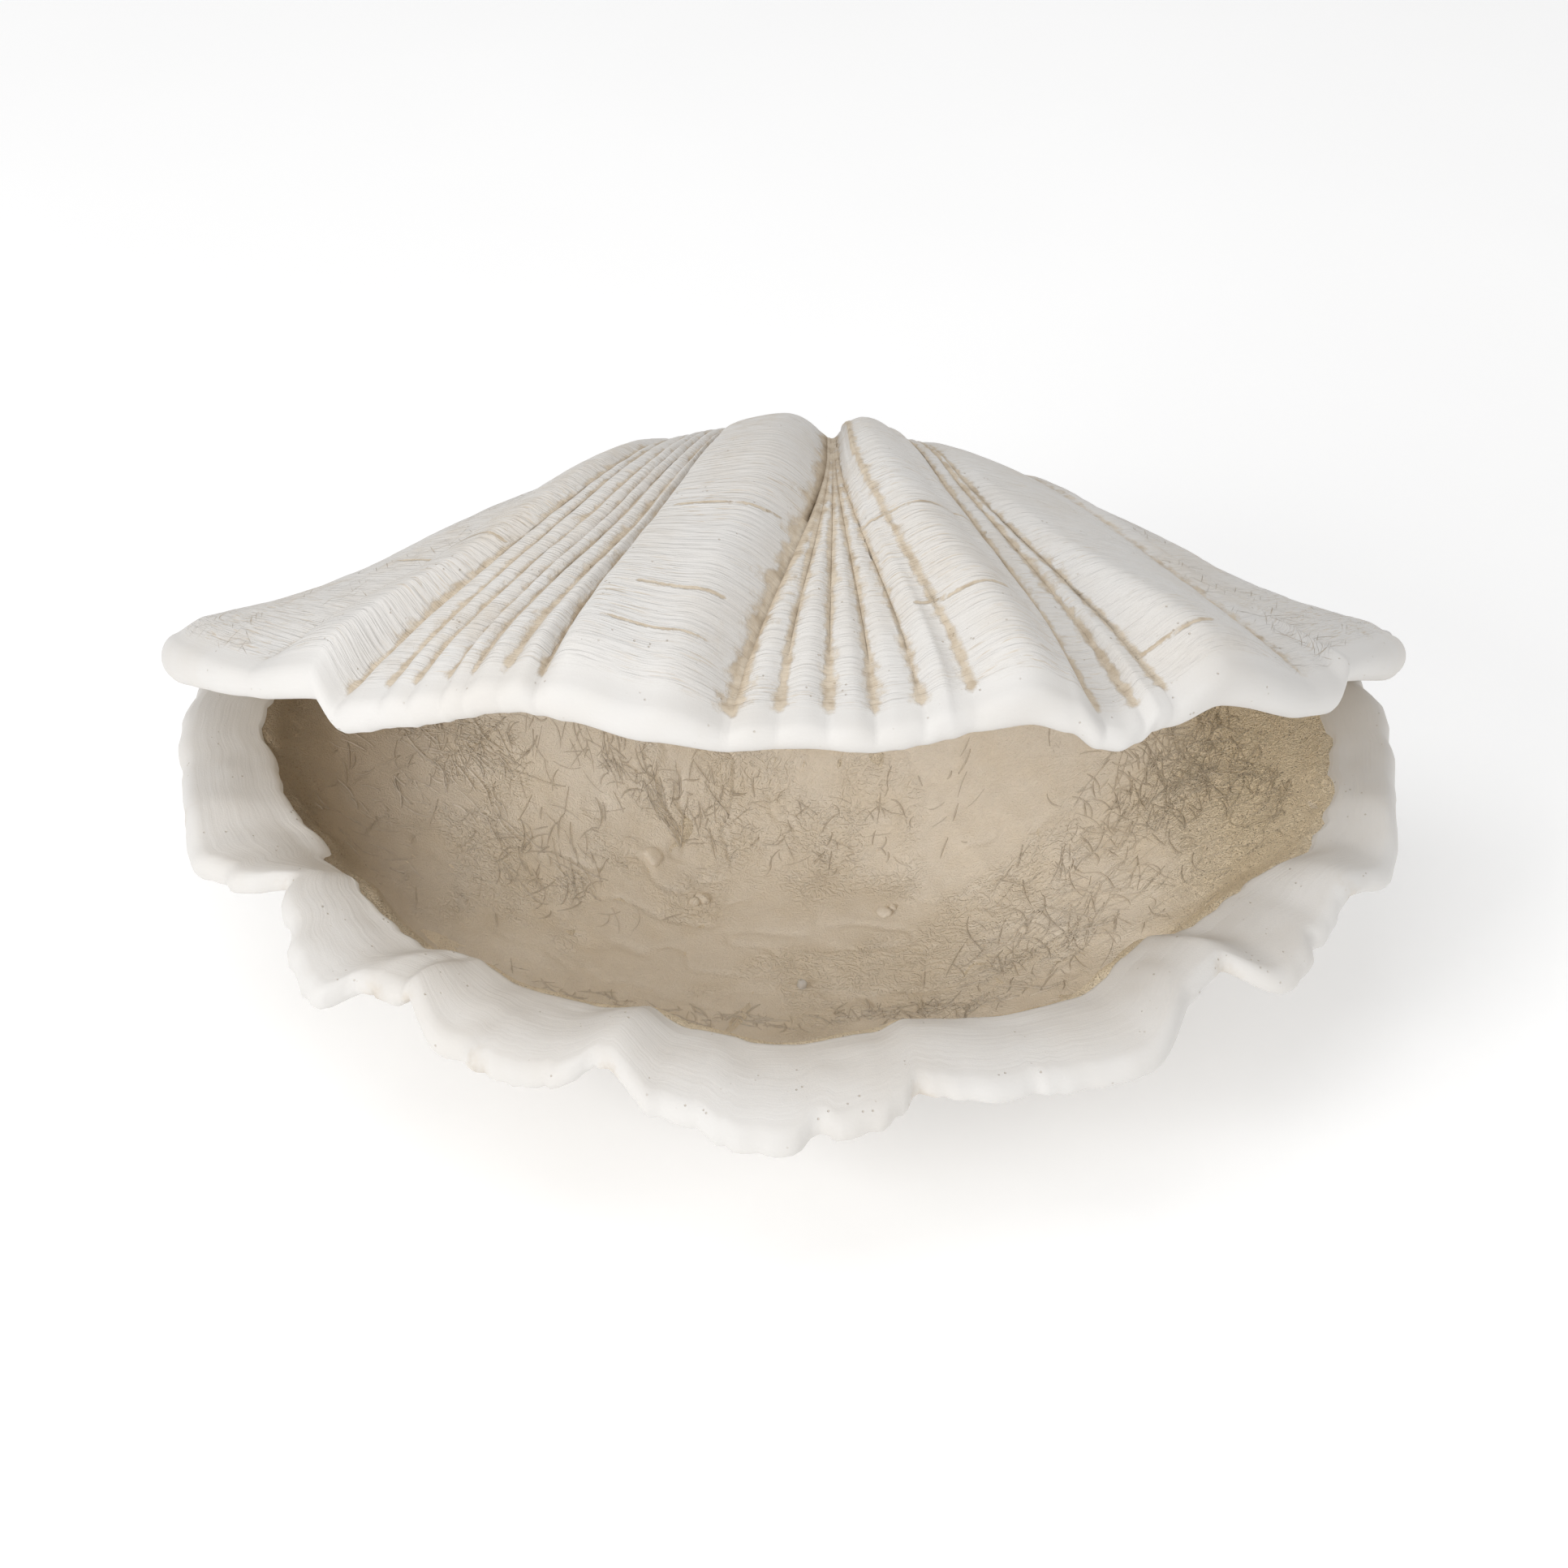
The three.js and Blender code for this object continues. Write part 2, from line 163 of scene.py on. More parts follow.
# Stations from the left end of the hinge round the front to the right end: fan angle at the margin and
# when young, rib height at the margin and when young, fold of the edge away from the mouth and outward,
# size at which the painted brim ends. The upper valve has no outward fold and one brim size.
UPPER = SimpleNamespace(
    name="upper", node="upper_valve", side=1, tilt=29.0, half_width=382.0, reach=438.0,
    slope=1.05, flange_slope=1.0, rib_power=0.9, lip=22.0, lip_root=1.25, lip_round=0.9, wall=11.0,
    margin_relief=0.45, lip_relief=0.2, wall_relief=0.3, relief_size=0.9, edge_size=0.72,
    roll=0.0, roll_width=40.0, brim_rows=9, brim_map=24.0, umbo_rows=12,
    stations=np.array([(*row, 0, 0.95) for row in (
        (-90, -90, 0, 0, 8),
        (-76, -62, 12, 13, 14),
        (-54, -43, -8, 0, 17),
        (-44.5, -33, 8, 14, 20),
        (-41.5, -30, -9, -3, 3),
        (-39, -28, 2, 5, 4),
        (-36.5, -27, -5, -2, 7),
        (-35, -25.5, 3, 5, 8),
        (-33.5, -23.5, -4, -3, 9),
        (-32, -22, 4, 5, 11),
        (-30, -20.8, -4, -4, 13),
        (-28.8, -20, 4, 5, 15),
        (-27.6, -19, -3, -3, 16),
        (-26, -17.8, 4, 5, 18),
        (-24.3, -16.5, -4, -3, 19),
        (-22.5, -16, 4, 4, 20),
        (-21, -15.5, -6, -7, 18),
        (-18.5, -13.5, 16, 13, 14),
        (-11, -5, 12, 20, 4),
        (-4.6, 3.4, -16, -20, -1),
        (-2.6, 3.6, -5, -19, -1),
        (-0.5, 3.8, -12, -21, 0),
        (1.6, 4.1, -4, -19, 0),
        (3.7, 4.3, -12, -22, 0),
        (5.8, 4.5, -4, -19, -1),
        (7.7, 4.7, -12, -21, -2),
        (9.7, 5, -4, -18, -1),
        (11.8, 5.4, -10, -18, 2),
        (14, 6.4, 1, -4, 5),
        (16.2, 7.4, -6, 6, 9),
        (21, 10.5, 16, 16, 12),
        (25, 15, 6, 5, 7),
        (28, 19.4, -12, -12, -2),
        (30, 21, -8, -7, -4),
        (32, 22, -12, -12, 0),
        (33.5, 22.6, -7, -8, 6),
        (35, 23.2, -10, -12, 8),
        (41, 27, 12, -4, 18),
        (53, 44, -2, -6, 6),
        (57, 47, 4, 1, 6),
        (60, 50, -9, -3, 22),
        (75, 64, 8, 11, 15),
        (90, 90, 0, 0, 8),
    )]),
    # Grooves cut along a station: its index, depth, half width, half width of the wash, strength of the
    # wash, and the size at which the groove fades out toward the umbo.
    grooves=[
        (2, 0.3, 5.0, 7.0, 0.45, 0.25),
        (4, 2.4, 2.6, 5.2, 1.15, 0.0),
        (6, 1.8, 2.2, 4.6, 1.1, 0.2),
        (8, 1.7, 2.2, 4.6, 1.1, 0.15),
        (10, 2.0, 2.4, 4.6, 1.1, 0.0),
        (12, 1.5, 2.0, 4.2, 1.0, 0.25),
        (14, 2.0, 2.4, 4.6, 1.1, 0.1),
        (16, 1.5, 2.8, 5.0, 1.15, 0.0),
        (19, 2.6, 5.0, 8.6, 1.35, 0.0),
        (21, 2.0, 2.6, 4.6, 1.1, 0.14),
        (23, 2.2, 2.8, 4.6, 1.15, 0.18),
        (25, 2.2, 2.8, 4.4, 1.1, 0.14),
        (27, 2.2, 2.8, 4.2, 1.05, 0.18),
        (29, 1.8, 2.4, 3.8, 0.95, 0.3),
        (32, 1.1, 2.8, 4.6, 1.05, 0.0),
        (34, 1.2, 2.8, 4.6, 1.05, 0.2),
        (36, 1.2, 2.6, 4.4, 1.05, 0.1),
        (38, 0.6, 5.0, 7.0, 0.6, 0.3),
    ],
)

LOWER = SimpleNamespace(
    name="lower", node="lower_valve", side=-1, tilt=0.0, half_width=370.0, reach=440.0,
    slope=0.95, flange_slope=0.33, rib_power=1.25, lip=17.0, lip_root=0.9, lip_round=0.9, wall=10.0,
    margin_relief=0.8, lip_relief=0.5, wall_relief=0.1, relief_size=0.9, edge_size=0.78,
    roll=15.0, roll_width=45.0, brim_rows=42, brim_map=100.0, umbo_rows=22,
    stations=np.array([
        (-90, -90, 0, 0, 0, -20, .905),
        (-80, -70, 5, 9, 2, 4, .90),
        (-72, -60, -2, -8, -2, 8, .89),
        (-68, -54, 5, 9, 2, 10, .868),
        (-57.5, -44, -6, -11, -9, -20, .885),
        (-47, -33, 5, 11, 4, 2, .868),
        (-42, -29, -2, -4, -3, -18, .872),
        (-40, -27, 1, 2, -2, -24, .875),
        (-38, -25, -5, -10, -7, -19, .875),
        (-32, -21, 3, 8, 2, -8, .870),
        (-28, -18, -1, -3, 0, 2, .868),
        (-23, -15, 3, 8, 1, 1, .868),
        (-16, -9, -6, -11, -8, -9, .885),
        (-10, -5, 2, 5, 2, 13, .885),
        (-1, 1, 4, 12, 4, 35, .888),
        (8, 6, 2, 5, 2, 19, .886),
        (12, 9, -2, -8, -1, 0, .888),
        (23, 15, 3, 9, 2, 7, .892),
        (33, 21, 3, 8, 2, 14, .886),
        (40, 27, -4, -6, -5, -9, .878),
        (45, 32, -6, -11, -10, -15, .870),
        (51, 37, 5, 10, 3, 10, .868),
        (57, 42, 3, 7, 2, 7, .880),
        (62, 47, -4, -10, -5, 10, .908),
        (68, 54, 5, 8, 3, 23, .912),
        (73, 60, -2, -5, -1, 16, .935),
        (79, 68, 4, 8, 2, 10, .93),
        (90, 90, 0, 0, 0, -20, .89),
    ]),
    grooves=[
        (2, 1.6, 3.0, 5.0, 0.9, 0.2),
        (4, 2.2, 3.4, 6.0, 1.0, 0.0),
        (6, 1.4, 2.6, 4.0, 0.8, 0.3),
        (8, 2.2, 3.2, 5.5, 1.0, 0.0),
        (10, 1.2, 2.6, 4.0, 0.8, 0.3),
        (12, 2.2, 3.2, 5.5, 1.0, 0.0),
        (16, 2.0, 3.0, 5.0, 1.0, 0.0),
        (20, 2.2, 3.2, 5.5, 1.0, 0.0),
        (23, 2.0, 3.0, 5.0, 1.0, 0.2),
        (25, 1.2, 2.6, 4.0, 0.8, 0.3),
    ],
)

# Stained growth lines on the upper valve: first and last station place, age, and width of the line.
GROWTH_LINES = [
    (17.15, 18.65, 0.305, 0.8),
    (17.35, 18.45, 0.145, 0.9),
    (17.1, 18.55, 0.083, 0.7),
    (26.6, 32.4, 0.31, 0.75),
    (27.9, 30.6, 0.142, 0.9),
    (35.9, 37.1, 0.068, 1.0),
    (1.7, 3.7, 0.28, 0.8),
]

# Smooth random relief as height, pitch and seed of each layer of lumps.
BODY_LUMPS = ((0.8, 70.0, 41), (0.4, 22.0, 42))
BRIM_LUMPS = ((1.9, 46.0, 46), (0.8, 17.0, 47))
LINING_LUMPS = ((1.7, 52.0, 52), (0.95, 19.0, 53))
FINE_LINING_LUMPS = ((0.55, 8.0, 54), (0.3, 4.0, 55))
CREASES = (1.7, 24.0, 56)
CREASE_ZONES = (60.0, 57)
CREASE_WIDTH = 0.13
UPPER_DRY_MAT = (0.5, 90.0, 51)
STAIN_PATCHES = (55.0, 45)

# Growth waves on the outer faces as height, run across for each millimetre along, pitch and seed.
WAVES = ((0.17, 4.5, 8.0, 43), (0.15, 5.0, 4.5, 44))

# Chips out of the lower rim as depth, pitch, power and seed, the least that is left off the rim, and the
# waviness of the upper rim.
CHIP_ZONES = (70.0, 11)
CHIPS = ((7.0, 17.0, 0.8, 12), (3.4, 7.0, 1.0, 13))
RIM_TRIM = 0.8
UPPER_CHIPS = (0.6, 0.5, 24.0, 14)

# Ragged paint edge as height, pitch and seed, and its depth in front and at the sides.
PAINT_EDGE = ((0.9, 34.0, 15), (0.5, 12.0, 16))
PAINT_JAG = (1.2, 5.0)
UPPER_PAINT_JAG = 1.5
LEAST_PAINT_AGE = 0.03
LEAST_LINING_AGE = 0.012

# Shape of the grooves' cuts and washes: wander off the station, uneven width, patches of thin wash, width
# and strength of the wash against the groove's own, and narrowing toward the umbo.
GROOVE_WANDER = (1.1, 40.0, 21)
GROOVE_RAGGED = (0.45, 9.0, 22)
WASH_PATCHES = (0.26, 26.0, 23)
WASH_CORE = 0.9
WASH_HAZE = 0.44
WASH_HAZE_WIDTH = 1.8
AGE_MAP = 600.0

# Zones of loose strands in the lower bowl: centre on the floor plan, spread, number and length of strands.
STRAND_ZONES = [
    ((-205, 78), (45, 26), 170, 26),
    ((-100, 100), (42, 20), 130, 24),
    ((-155, 25), (55, 36), 110, 26),
    ((20, 95), (90, 30), 90, 20),
    ((245, 50), (62, 48), 330, 28),
    ((180, -30), (58, 46), 190, 34),
    ((310, 0), (28, 50), 160, 20),
    ((95, -92), (70, 10), 110, 20),
    ((-60, -95), (80, 10), 80, 18),
    ((-260, 0), (40, 60), 70, 20),
    ((285, 62), (35, 22), 16, 75),
]

# Strands: painted shade that darkens them toward the brown of the shaded left wall, seed, bend and the
# length from which they bend less, points along a strand and the fewest that make one, half width, length
# against that of the zone, scatter in the zone, taper, section as half width, rise and depth, and how far a
# steep slope shortens a step.
STRAND_PAINTED_SHADE = 0.3
STRAND_SEED = 61
STRAND_BEND = 0.9
STIFF_LENGTH = 30.0
STRAND_STEPS = 10
STRAND_POINTS = 6
STRAND_HALF_WIDTH = (0.4, 0.95)
STRAND_REACH = (0.35, 1.3)
STRAND_SPREAD = 0.6
STRAND_TIP = 0.12
STRAND_TAPER = 0.4
STRAND_SECTION = (0.8, 1.15, 0.9)
STEEPEST = 0.35

# Height from which things are set down on the lining, and the height that strands stay under.
DROP_FROM = 132.0
STRANDS_UNDER = 122.0

# A fold of the mat under the right rim, from its rear to its front end.
RIDGE = ((312, 14, 122), (330, -46, 138))
RIDGE_HEIGHT = 2.6
RIDGE_WIDTH = 6.0

# Drops of resin set on the lower lining: place on the floor plan, radius and height.
RESIN_DROPS = [
    ((-52, 37), 5.0, 3.6),
    ((-57, 33), 3.2, 2.4),
    ((64, 26), 5.0, 3.0),
    ((69, 30), 2.6, 2.4),
    ((-84, 57), 6.5, 3.0),
    ((150, -20), 3.0, 1.6),
]
PAINT_BEAD = ((11, -51), 3.1, 4.2)
DROP_RAISE = 0.25
DROP_SEED = 70

# The stage in metres: half of the floor's side, what the camera and the lights look at, and the place and
# size of each light.
FLOOR_HALF = 9.0
LOOK_AT = (0.0, -0.025, 0.148)
LIGHTS = (
    ("key", (-2.1, -2.5, 1.85), 1.5),
    ("low", (0.4, -3.2, 1.2), 1.4),
    ("top", (-0.6, -0.1, 2.7), 2.4),
    ("fill", (2.2, -1.8, 1.5), 2.2),
)


def ease(value):
    t = np.clip(value, 0.0, 1.0)
    return t * t * (3 - 2 * t)


def mix(a, b, t):
    return a + (b - a) * t


def unit(vectors):
    return vectors / np.maximum(np.linalg.norm(vectors, axis=-1, keepdims=True), 1e-9)


def run_lengths(points):
    """Distance from the start along a chain of points, or along each row of a grid."""
    steps = np.linalg.norm(np.diff(points, axis=-2), axis=-1)
    return np.concatenate([np.zeros((*steps.shape[:-1], 1)), np.cumsum(steps, axis=-1)], -1)


def beyond(x, zone):
    """How far x lies in a zone, from 0 where it starts to 1 at the end of its run."""
    start, run = zone
    return (x - start) / run


def lumps(x, y, z, pitch, seed, cells=64):
    """Smooth random values from about -1 to 1, with one lump in each pitch of the coordinates."""
    table = np.random.default_rng(seed).uniform(-1, 1, (cells, cells, cells))
    x, y, z = np.broadcast_arrays(x, y, z)
    place = np.stack([x, y, z], -1) / pitch
    cell = np.floor(place).astype(int)
    t = ease(place - cell)
    total = np.zeros(x.shape)
    for corner in product((0, 1), repeat=3):
        weight = np.prod(np.where(np.array(corner) == 1, t, 1 - t), axis=-1)
        i, j, k = np.moveaxis((cell + corner) % cells, -1, 0)
        total += weight * table[i, j, k]
    return total


def lumps_at(points, pitch, seed):
    return lumps(points[..., 0], points[..., 1], points[..., 2], pitch, seed)


def relief_at(points, layers):
    return sum(height * lumps_at(points, pitch, seed) for height, pitch, seed in layers)


def station_at(valve, u):
    """Values at places u across the stations. A rib is round on top and sharp in the valley."""
    table = valve.stations
    index = np.clip(np.floor(u).astype(int), 0, len(table) - 2)
    t = (u - index)[..., None]
    low, high = table[index], table[index + 1]
    rising = (high[..., 2] + high[..., 3] > low[..., 2] + low[..., 3])[..., None]
    upward = np.sin(np.pi / 2 * t) ** valve.rib_power
    downward = 1 - np.sin(np.pi / 2 * (1 - t)) ** valve.rib_power
    rib = np.where(rising, upward, downward)
    blend = np.concatenate([t, t, rib, rib, ease(t), rib, ease(t)], -1)
    fan, young_fan, height, young_height, lift, spread, brim = np.moveaxis(mix(low, high, blend), -1, 0)
    return SimpleNamespace(
        fan=fan, young_fan=young_fan, height=height, young_height=young_height, lift=lift,
        spread=spread, rim=-np.log(brim),
    )


def smooth_shell(valve, fan, rim, age):
    """The shell without ribs in the valve's own frame: y forward in the margin plane, z out of the shell."""
    size = np.exp(-age) * np.sqrt(np.maximum(1 - (age / AGE_SPAN) ** BEAK_POWER, 0))
    turn = valve.slope * age * mix(valve.flange_slope, 1.0, ease((age - rim) / BRIM_STEP))
    across = np.sin(np.radians(fan))
    outline = np.maximum(1 - np.abs(across) ** OUTLINE_POWER, 0) ** (1 / OUTLINE_POWER)
    distance = size * valve.reach * outline
    return np.stack([
        UMBO_X + size * (valve.half_width * across - UMBO_X),
        distance * np.cos(turn),
        distance * np.sin(turn),
    ], -1)


def outward_normal(valve, fan, rim, age):
    step, age_step, end = 0.3, 0.007, 89.4
    middle = np.clip(fan, -end, end)
    right = smooth_shell(valve, np.clip(fan + step, -end, 90), rim, age)
    left = smooth_shell(valve, np.clip(fan - step, -90, end), rim, age)
    older = smooth_shell(valve, middle, rim, np.clip(age + age_step, 2 * age_step, AGE_SPAN - age_step))
    younger = smooth_shell(valve, middle, rim, np.clip(age - age_step, 0, AGE_SPAN - 3 * age_step))
    return unit(np.cross(older - younger, right - left))


def raised(points, height):
    return points + AWAY * (height - points @ AWAY)[..., None]


def face_points(valve, u, age, inner=False):
    """Points of the outer or the inner face."""
    u, age = np.broadcast_arrays(u, age)
    at = station_at(valve, u)
    size = np.exp(-age)
    late = ease((size - EARLY_SIZE) / (1 - EARLY_SIZE))
    edge = ease((size - valve.edge_size) / (1 - valve.edge_size))
    from_margin = (1 - size) * valve.reach
    fan = mix(at.young_fan, at.fan, late)
    points = smooth_shell(valve, fan, at.rim, age)
    from_hinge = np.hypot(points[..., 1], points[..., 2])
    smooth_x = points[..., 0].copy()
    normal = outward_normal(valve, fan, at.rim, age)
    relief = mix(at.young_height, at.height, late) * size
    spread = np.stack([points[..., 0] - UMBO_X, points[..., 1], np.zeros_like(size)], -1)
    spread /= np.maximum(np.linalg.norm(spread, axis=-1, keepdims=True), 1.0)
    spread *= (at.spread * edge)[..., None]
    front = np.maximum(np.cos(np.radians(fan)), 0)
    rolled = valve.roll * front * np.maximum(1 - from_margin / valve.roll_width, 0) ** 2
    spread[..., 2] = at.lift * edge + rolled
    if not inner:
        relief = relief * mix(valve.margin_relief, 1.0, ease(from_margin / RELIEF_END))
        points = points + normal * relief[..., None] + spread
        return raised(points, np.hypot(points @ AWAY, BACK_EDGE_HEIGHT))
    past_brim = ease((age - at.rim) / BRIM_LIP)
    inset = mix(valve.lip * mix(valve.lip_root, 1.0, edge), valve.wall, past_brim)
    near_edge = ease((size - valve.relief_size) / (1 - valve.relief_size))
    share = mix(valve.wall_relief, valve.lip_relief, near_edge)
    points = points + normal * (relief * share - inset)[..., None] + spread
    hinge_x = smooth_x + np.sign(UMBO_X - smooth_x) * HINGE_END_WALL * size
    hinge = np.stack([hinge_x, np.zeros_like(size), np.zeros_like(size)], -1) + ALONG * HINGE_FACE_WIDTH
    points = mix(hinge, points, ease(from_hinge / HINGE_REACH)[..., None])
    return raised(points, np.maximum(points @ AWAY, 0.0))


def wall_between(valve, u, age):
    """Thickness of the wall in millimetres and the direction from the inner face to the outer one."""
    across = face_points(valve, u, age) - face_points(valve, u, age, inner=True)
    return np.linalg.norm(across, axis=-1), unit(across)


def depth_share(wall):
    """How much of its usual depth a layer in the wall keeps where the wall is thin."""
    return np.clip((wall - THINNEST_WALL) / (FULL_WALL - THINNEST_WALL), LEAST_SHARE, 1.0)[..., None]


def lip_rows(valve, u, age, steps):
    """The rounded edge between the two faces, from the outer to the inner."""
    outer = face_points(valve, u, age)
    inner = face_points(valve, u, age, inner=True)
    ahead = unit(outer - face_points(valve, u, age + LIP_BEHIND))
    half = np.linalg.norm(outer - inner, axis=-1, keepdims=True) / 2
    rows = []
    for step in range(1, steps):
        turn = math.pi * step / steps
        row = (outer + inner) / 2 + (outer - inner) / 2 * math.cos(turn)
        row = row + ahead * half * valve.lip_round * math.sin(turn)
        for end in (0, -1):
            row[end] = raised(row[end], max(row[end] @ AWAY, 0.0))
        rows.append(row)
    return np.array(rows)


def to_frame(valve, points):
    points = points + AWAY * HINGE_GAP / 2
    tilt = math.radians(valve.tilt)
    x, y, z = np.moveaxis(points, -1, 0)
    return np.stack([
        x,
        HINGE_BACK - y * math.cos(tilt) + valve.side * z * math.sin(tilt),
        HINGE_HEIGHT + y * math.sin(tilt) + valve.side * z * math.cos(tilt),
    ], -1)


def soft_floor(points, floor):
    """Ends a form in a flat floor, with a short round instead of a crease."""
    above = points[..., 2] - floor
    bend = (above + FLOOR_SOFTNESS) ** 2 / (4 * FLOOR_SOFTNESS)
    rounded = np.where(above > FLOOR_SOFTNESS, above, np.where(above < -FLOOR_SOFTNESS, 0, bend))
    points = points.copy()
    points[..., 2] = floor + rounded
    return points


def centre_ages(valve, first, last, count):
    """Ages that lie evenly along the middle of the shell, and their distance from the margin."""
    fine = np.linspace(0, AGE_SPAN, CENTRE_STEPS)
    zero = np.zeros_like(fine)
    line = smooth_shell(valve, zero, zero + CENTRE_RIM, fine)
    length = run_lengths(line)
    start, end = np.interp([first, last], fine, length)
    places = np.linspace(start, end, count)
    return np.interp(places, length, fine), places


def column_places(valve, per_degree, least):
    places = [0.0]
    for k, gap in enumerate(np.diff(valve.stations[:, 0])):
        parts = max(least, math.ceil(gap * per_degree))
        places += [k + part / parts for part in range(1, parts + 1)]
    return np.array(places)


def grid_normals(grid, side):
    """Normals of a grid whose rows run from the umbo over the outer face and back inside."""
    return unit(np.cross(np.gradient(grid, axis=0), np.gradient(grid, axis=1))) * side


def wound(valve, faces):
    """Plain vertex numbers, in an order that faces outward on either valve."""
    step = -1 if valve.side > 0 else 1
    return [tuple(int(number) for number in face)[::step] for face in faces]


def padded(values, count, fill=0.0):
    """A layer of grid values, filled up for the vertices that follow the grid."""
    return np.concatenate([values.ravel(), np.full(count, fill)])


def grid_faces(numbers):
    a, b, c, d = numbers[:-1, :-1], numbers[:-1, 1:], numbers[1:, 1:], numbers[1:, :-1]
    return np.stack([a, b, c, d], -1).reshape(-1, 4).tolist()


def zip_strip(rear, front, rear_place, front_place):
    """Triangles between two chains of vertices, stepping along whichever is behind."""
    faces = []
    i = k = 0
    while i < len(rear) - 1 or k < len(front) - 1:
        rear_next = rear_place[i + 1] if i < len(rear) - 1 else math.inf
        front_next = front_place[k + 1] if k < len(front) - 1 else math.inf
        if rear_next <= front_next:
            faces.append((rear[i + 1], rear[i], front[k]))
            i += 1
        else:
            faces.append((front[k], front[k + 1], rear[i]))
            k += 1
    return faces


def make_piece(name, points, faces, layers, material, nodes=("lower_valve",)):
    """Makes one mesh piece from points in millimetres, kept inside the box of the solids."""
    low, high = (np.array(corner) / MM for corner in cad_box)
    points = np.clip(points, low + BOX_MARGIN, high - BOX_MARGIN)
    mesh = bpy.data.meshes.new(name)
    mesh.from_pydata((points * MM).tolist(), [], faces)
    if mesh.validate():
        raise RuntimeError(f"{name}: the mesh had faults")
    for label, values in layers.items():
        kind, field = ("FLOAT_VECTOR", "vector") if values.ndim == 2 else ("FLOAT", "value")
        mesh.attributes.new(label, kind, "POINT").data.foreach_set(field, values.astype(np.float32).ravel())
    mesh.polygons.foreach_set("use_smooth", [True] * len(mesh.polygons))
    mesh.materials.append(material)
    piece = bpy.data.objects.new(name, mesh)
    bpy.context.scene.collection.objects.link(piece)
    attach(piece, "root")
    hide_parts(*nodes)


def new_group(name, inputs, outputs):
    """An empty node group. A default of three parts makes a vector socket, any other a number."""
    tree = bpy.data.node_groups.new(name, "ShaderNodeTree")
    for label, default in inputs:
        kind = "NodeSocketVector" if isinstance(default, tuple) else "NodeSocketFloat"
        socket = tree.interface.new_socket(label, in_out="INPUT", socket_type=kind)
        socket.default_value = default
    for label in outputs:
        tree.interface.new_socket(label, in_out="OUTPUT", socket_type="NodeSocketFloat")
    return tree, tree.nodes.new("NodeGroupInput"), tree.nodes.new("NodeGroupOutput")


def set_input(tree, socket, value):
    if isinstance(value, bpy.types.NodeSocket):
        tree.links.new(value, socket)
    else:
        socket.default_value = value


def math_node(tree, operation, *values, clamp=False):
    node = tree.nodes.new("ShaderNodeMath")
    node.operation = operation
    node.use_clamp = clamp
    for socket, value in zip(node.inputs, values):
        set_input(tree, socket, value)
    return node.outputs[0]


def times(tree, first, second):
    return math_node(tree, "MULTIPLY", first, second)


def stacked(tree, height, *layers):
    """Adds layers to a height, each a value and what it measures in millimetres where it is 1."""
    for value, millimetres in layers:
        height = math_node(tree, "MULTIPLY_ADD", value, millimetres, height)
    return height


def scaled(tree, vector, scale):
    node = tree.nodes.new("ShaderNodeVectorMath")
    node.operation = "MULTIPLY"
    set_input(tree, node.inputs[0], vector)
    set_input(tree, node.inputs[1], scale)
    return node.outputs[0]


def turned(tree, vector, degrees):
    node = tree.nodes.new("ShaderNodeMapping")
    set_input(tree, node.inputs["Vector"], vector)
    node.inputs["Rotation"].default_value = [math.radians(angle) for angle in degrees]
    return node.outputs[0]


def noise(tree, vector, scale=1.0, detail=2.0, roughness=0.5, distortion=0.0):
    node = tree.nodes.new("ShaderNodeTexNoise")
    labels = ("Vector", "Scale", "Detail", "Roughness", "Distortion")
    for label, value in zip(labels, (vector, scale, detail, roughness, distortion)):
        set_input(tree, node.inputs[label], value)
    return node.outputs["Fac"]


def ramp(tree, value, low, high, to_low=0.0, to_high=1.0):
    node = tree.nodes.new("ShaderNodeMapRange")
    node.interpolation_type = "SMOOTHSTEP"
    labels = ("Value", "From Min", "From Max", "To Min", "To Max")
    for label, entry in zip(labels, (value, low, high, to_low, to_high)):
        set_input(tree, node.inputs[label], entry)
    return node.outputs["Result"]


def blend(tree, factor, first, second):
    node = tree.nodes.new("ShaderNodeMix")
    node.data_type = "RGBA"
    set_input(tree, node.inputs["Factor"], factor)
    set_input(tree, node.inputs["A"], first)
    set_input(tree, node.inputs["B"], second)
    return node.outputs["Result"]


def attribute(tree, name, output="Fac"):
    node = tree.nodes.new("ShaderNodeAttribute")
    node.attribute_name = name
    return node.outputs[output]


def use_group(tree, name, **values):
    node = tree.nodes.new("ShaderNodeGroup")
    node.node_tree = bpy.data.node_groups[name]
    for label, value in values.items():
        set_input(tree, node.inputs[label.replace("_", " ")], value)
    return node.outputs


def per_metre(tree, millimetres, share=1000.0):
    return math_node(tree, "DIVIDE", share, millimetres)


def combine(tree, x, y, z):
    node = tree.nodes.new("ShaderNodeCombineXYZ")
    for socket, value in zip(node.inputs, (x, y, z)):
        set_input(tree, socket, value)
    return node.outputs[0]


def build_growth_ridges():
    """Fine broken ridges that follow the growing edge. Map is across and along the shell in metres."""
    inputs = [("Map", (0.0, 0.0, 0.0)), ("Pitch mm", 3.4), ("Length mm", 40.0)]
    tree, into, out = new_group("growth ridges", inputs, ["Height", "Trough"])
    across = per_metre(tree, into.outputs["Length mm"])
    along = per_metre(tree, into.outputs["Pitch mm"])
    stretch = combine(tree, across, along, 1.0)
    ridges = noise(tree, scaled(tree, into.outputs["Map"], stretch), 1.0, 2.5, 0.55, 0.15)
    tree.links.new(ramp(tree, ridges, 0.3, 0.7), out.inputs["Height"])
    tree.links.new(ramp(tree, ridges, 0.45, 0.34), out.inputs["Trough"])


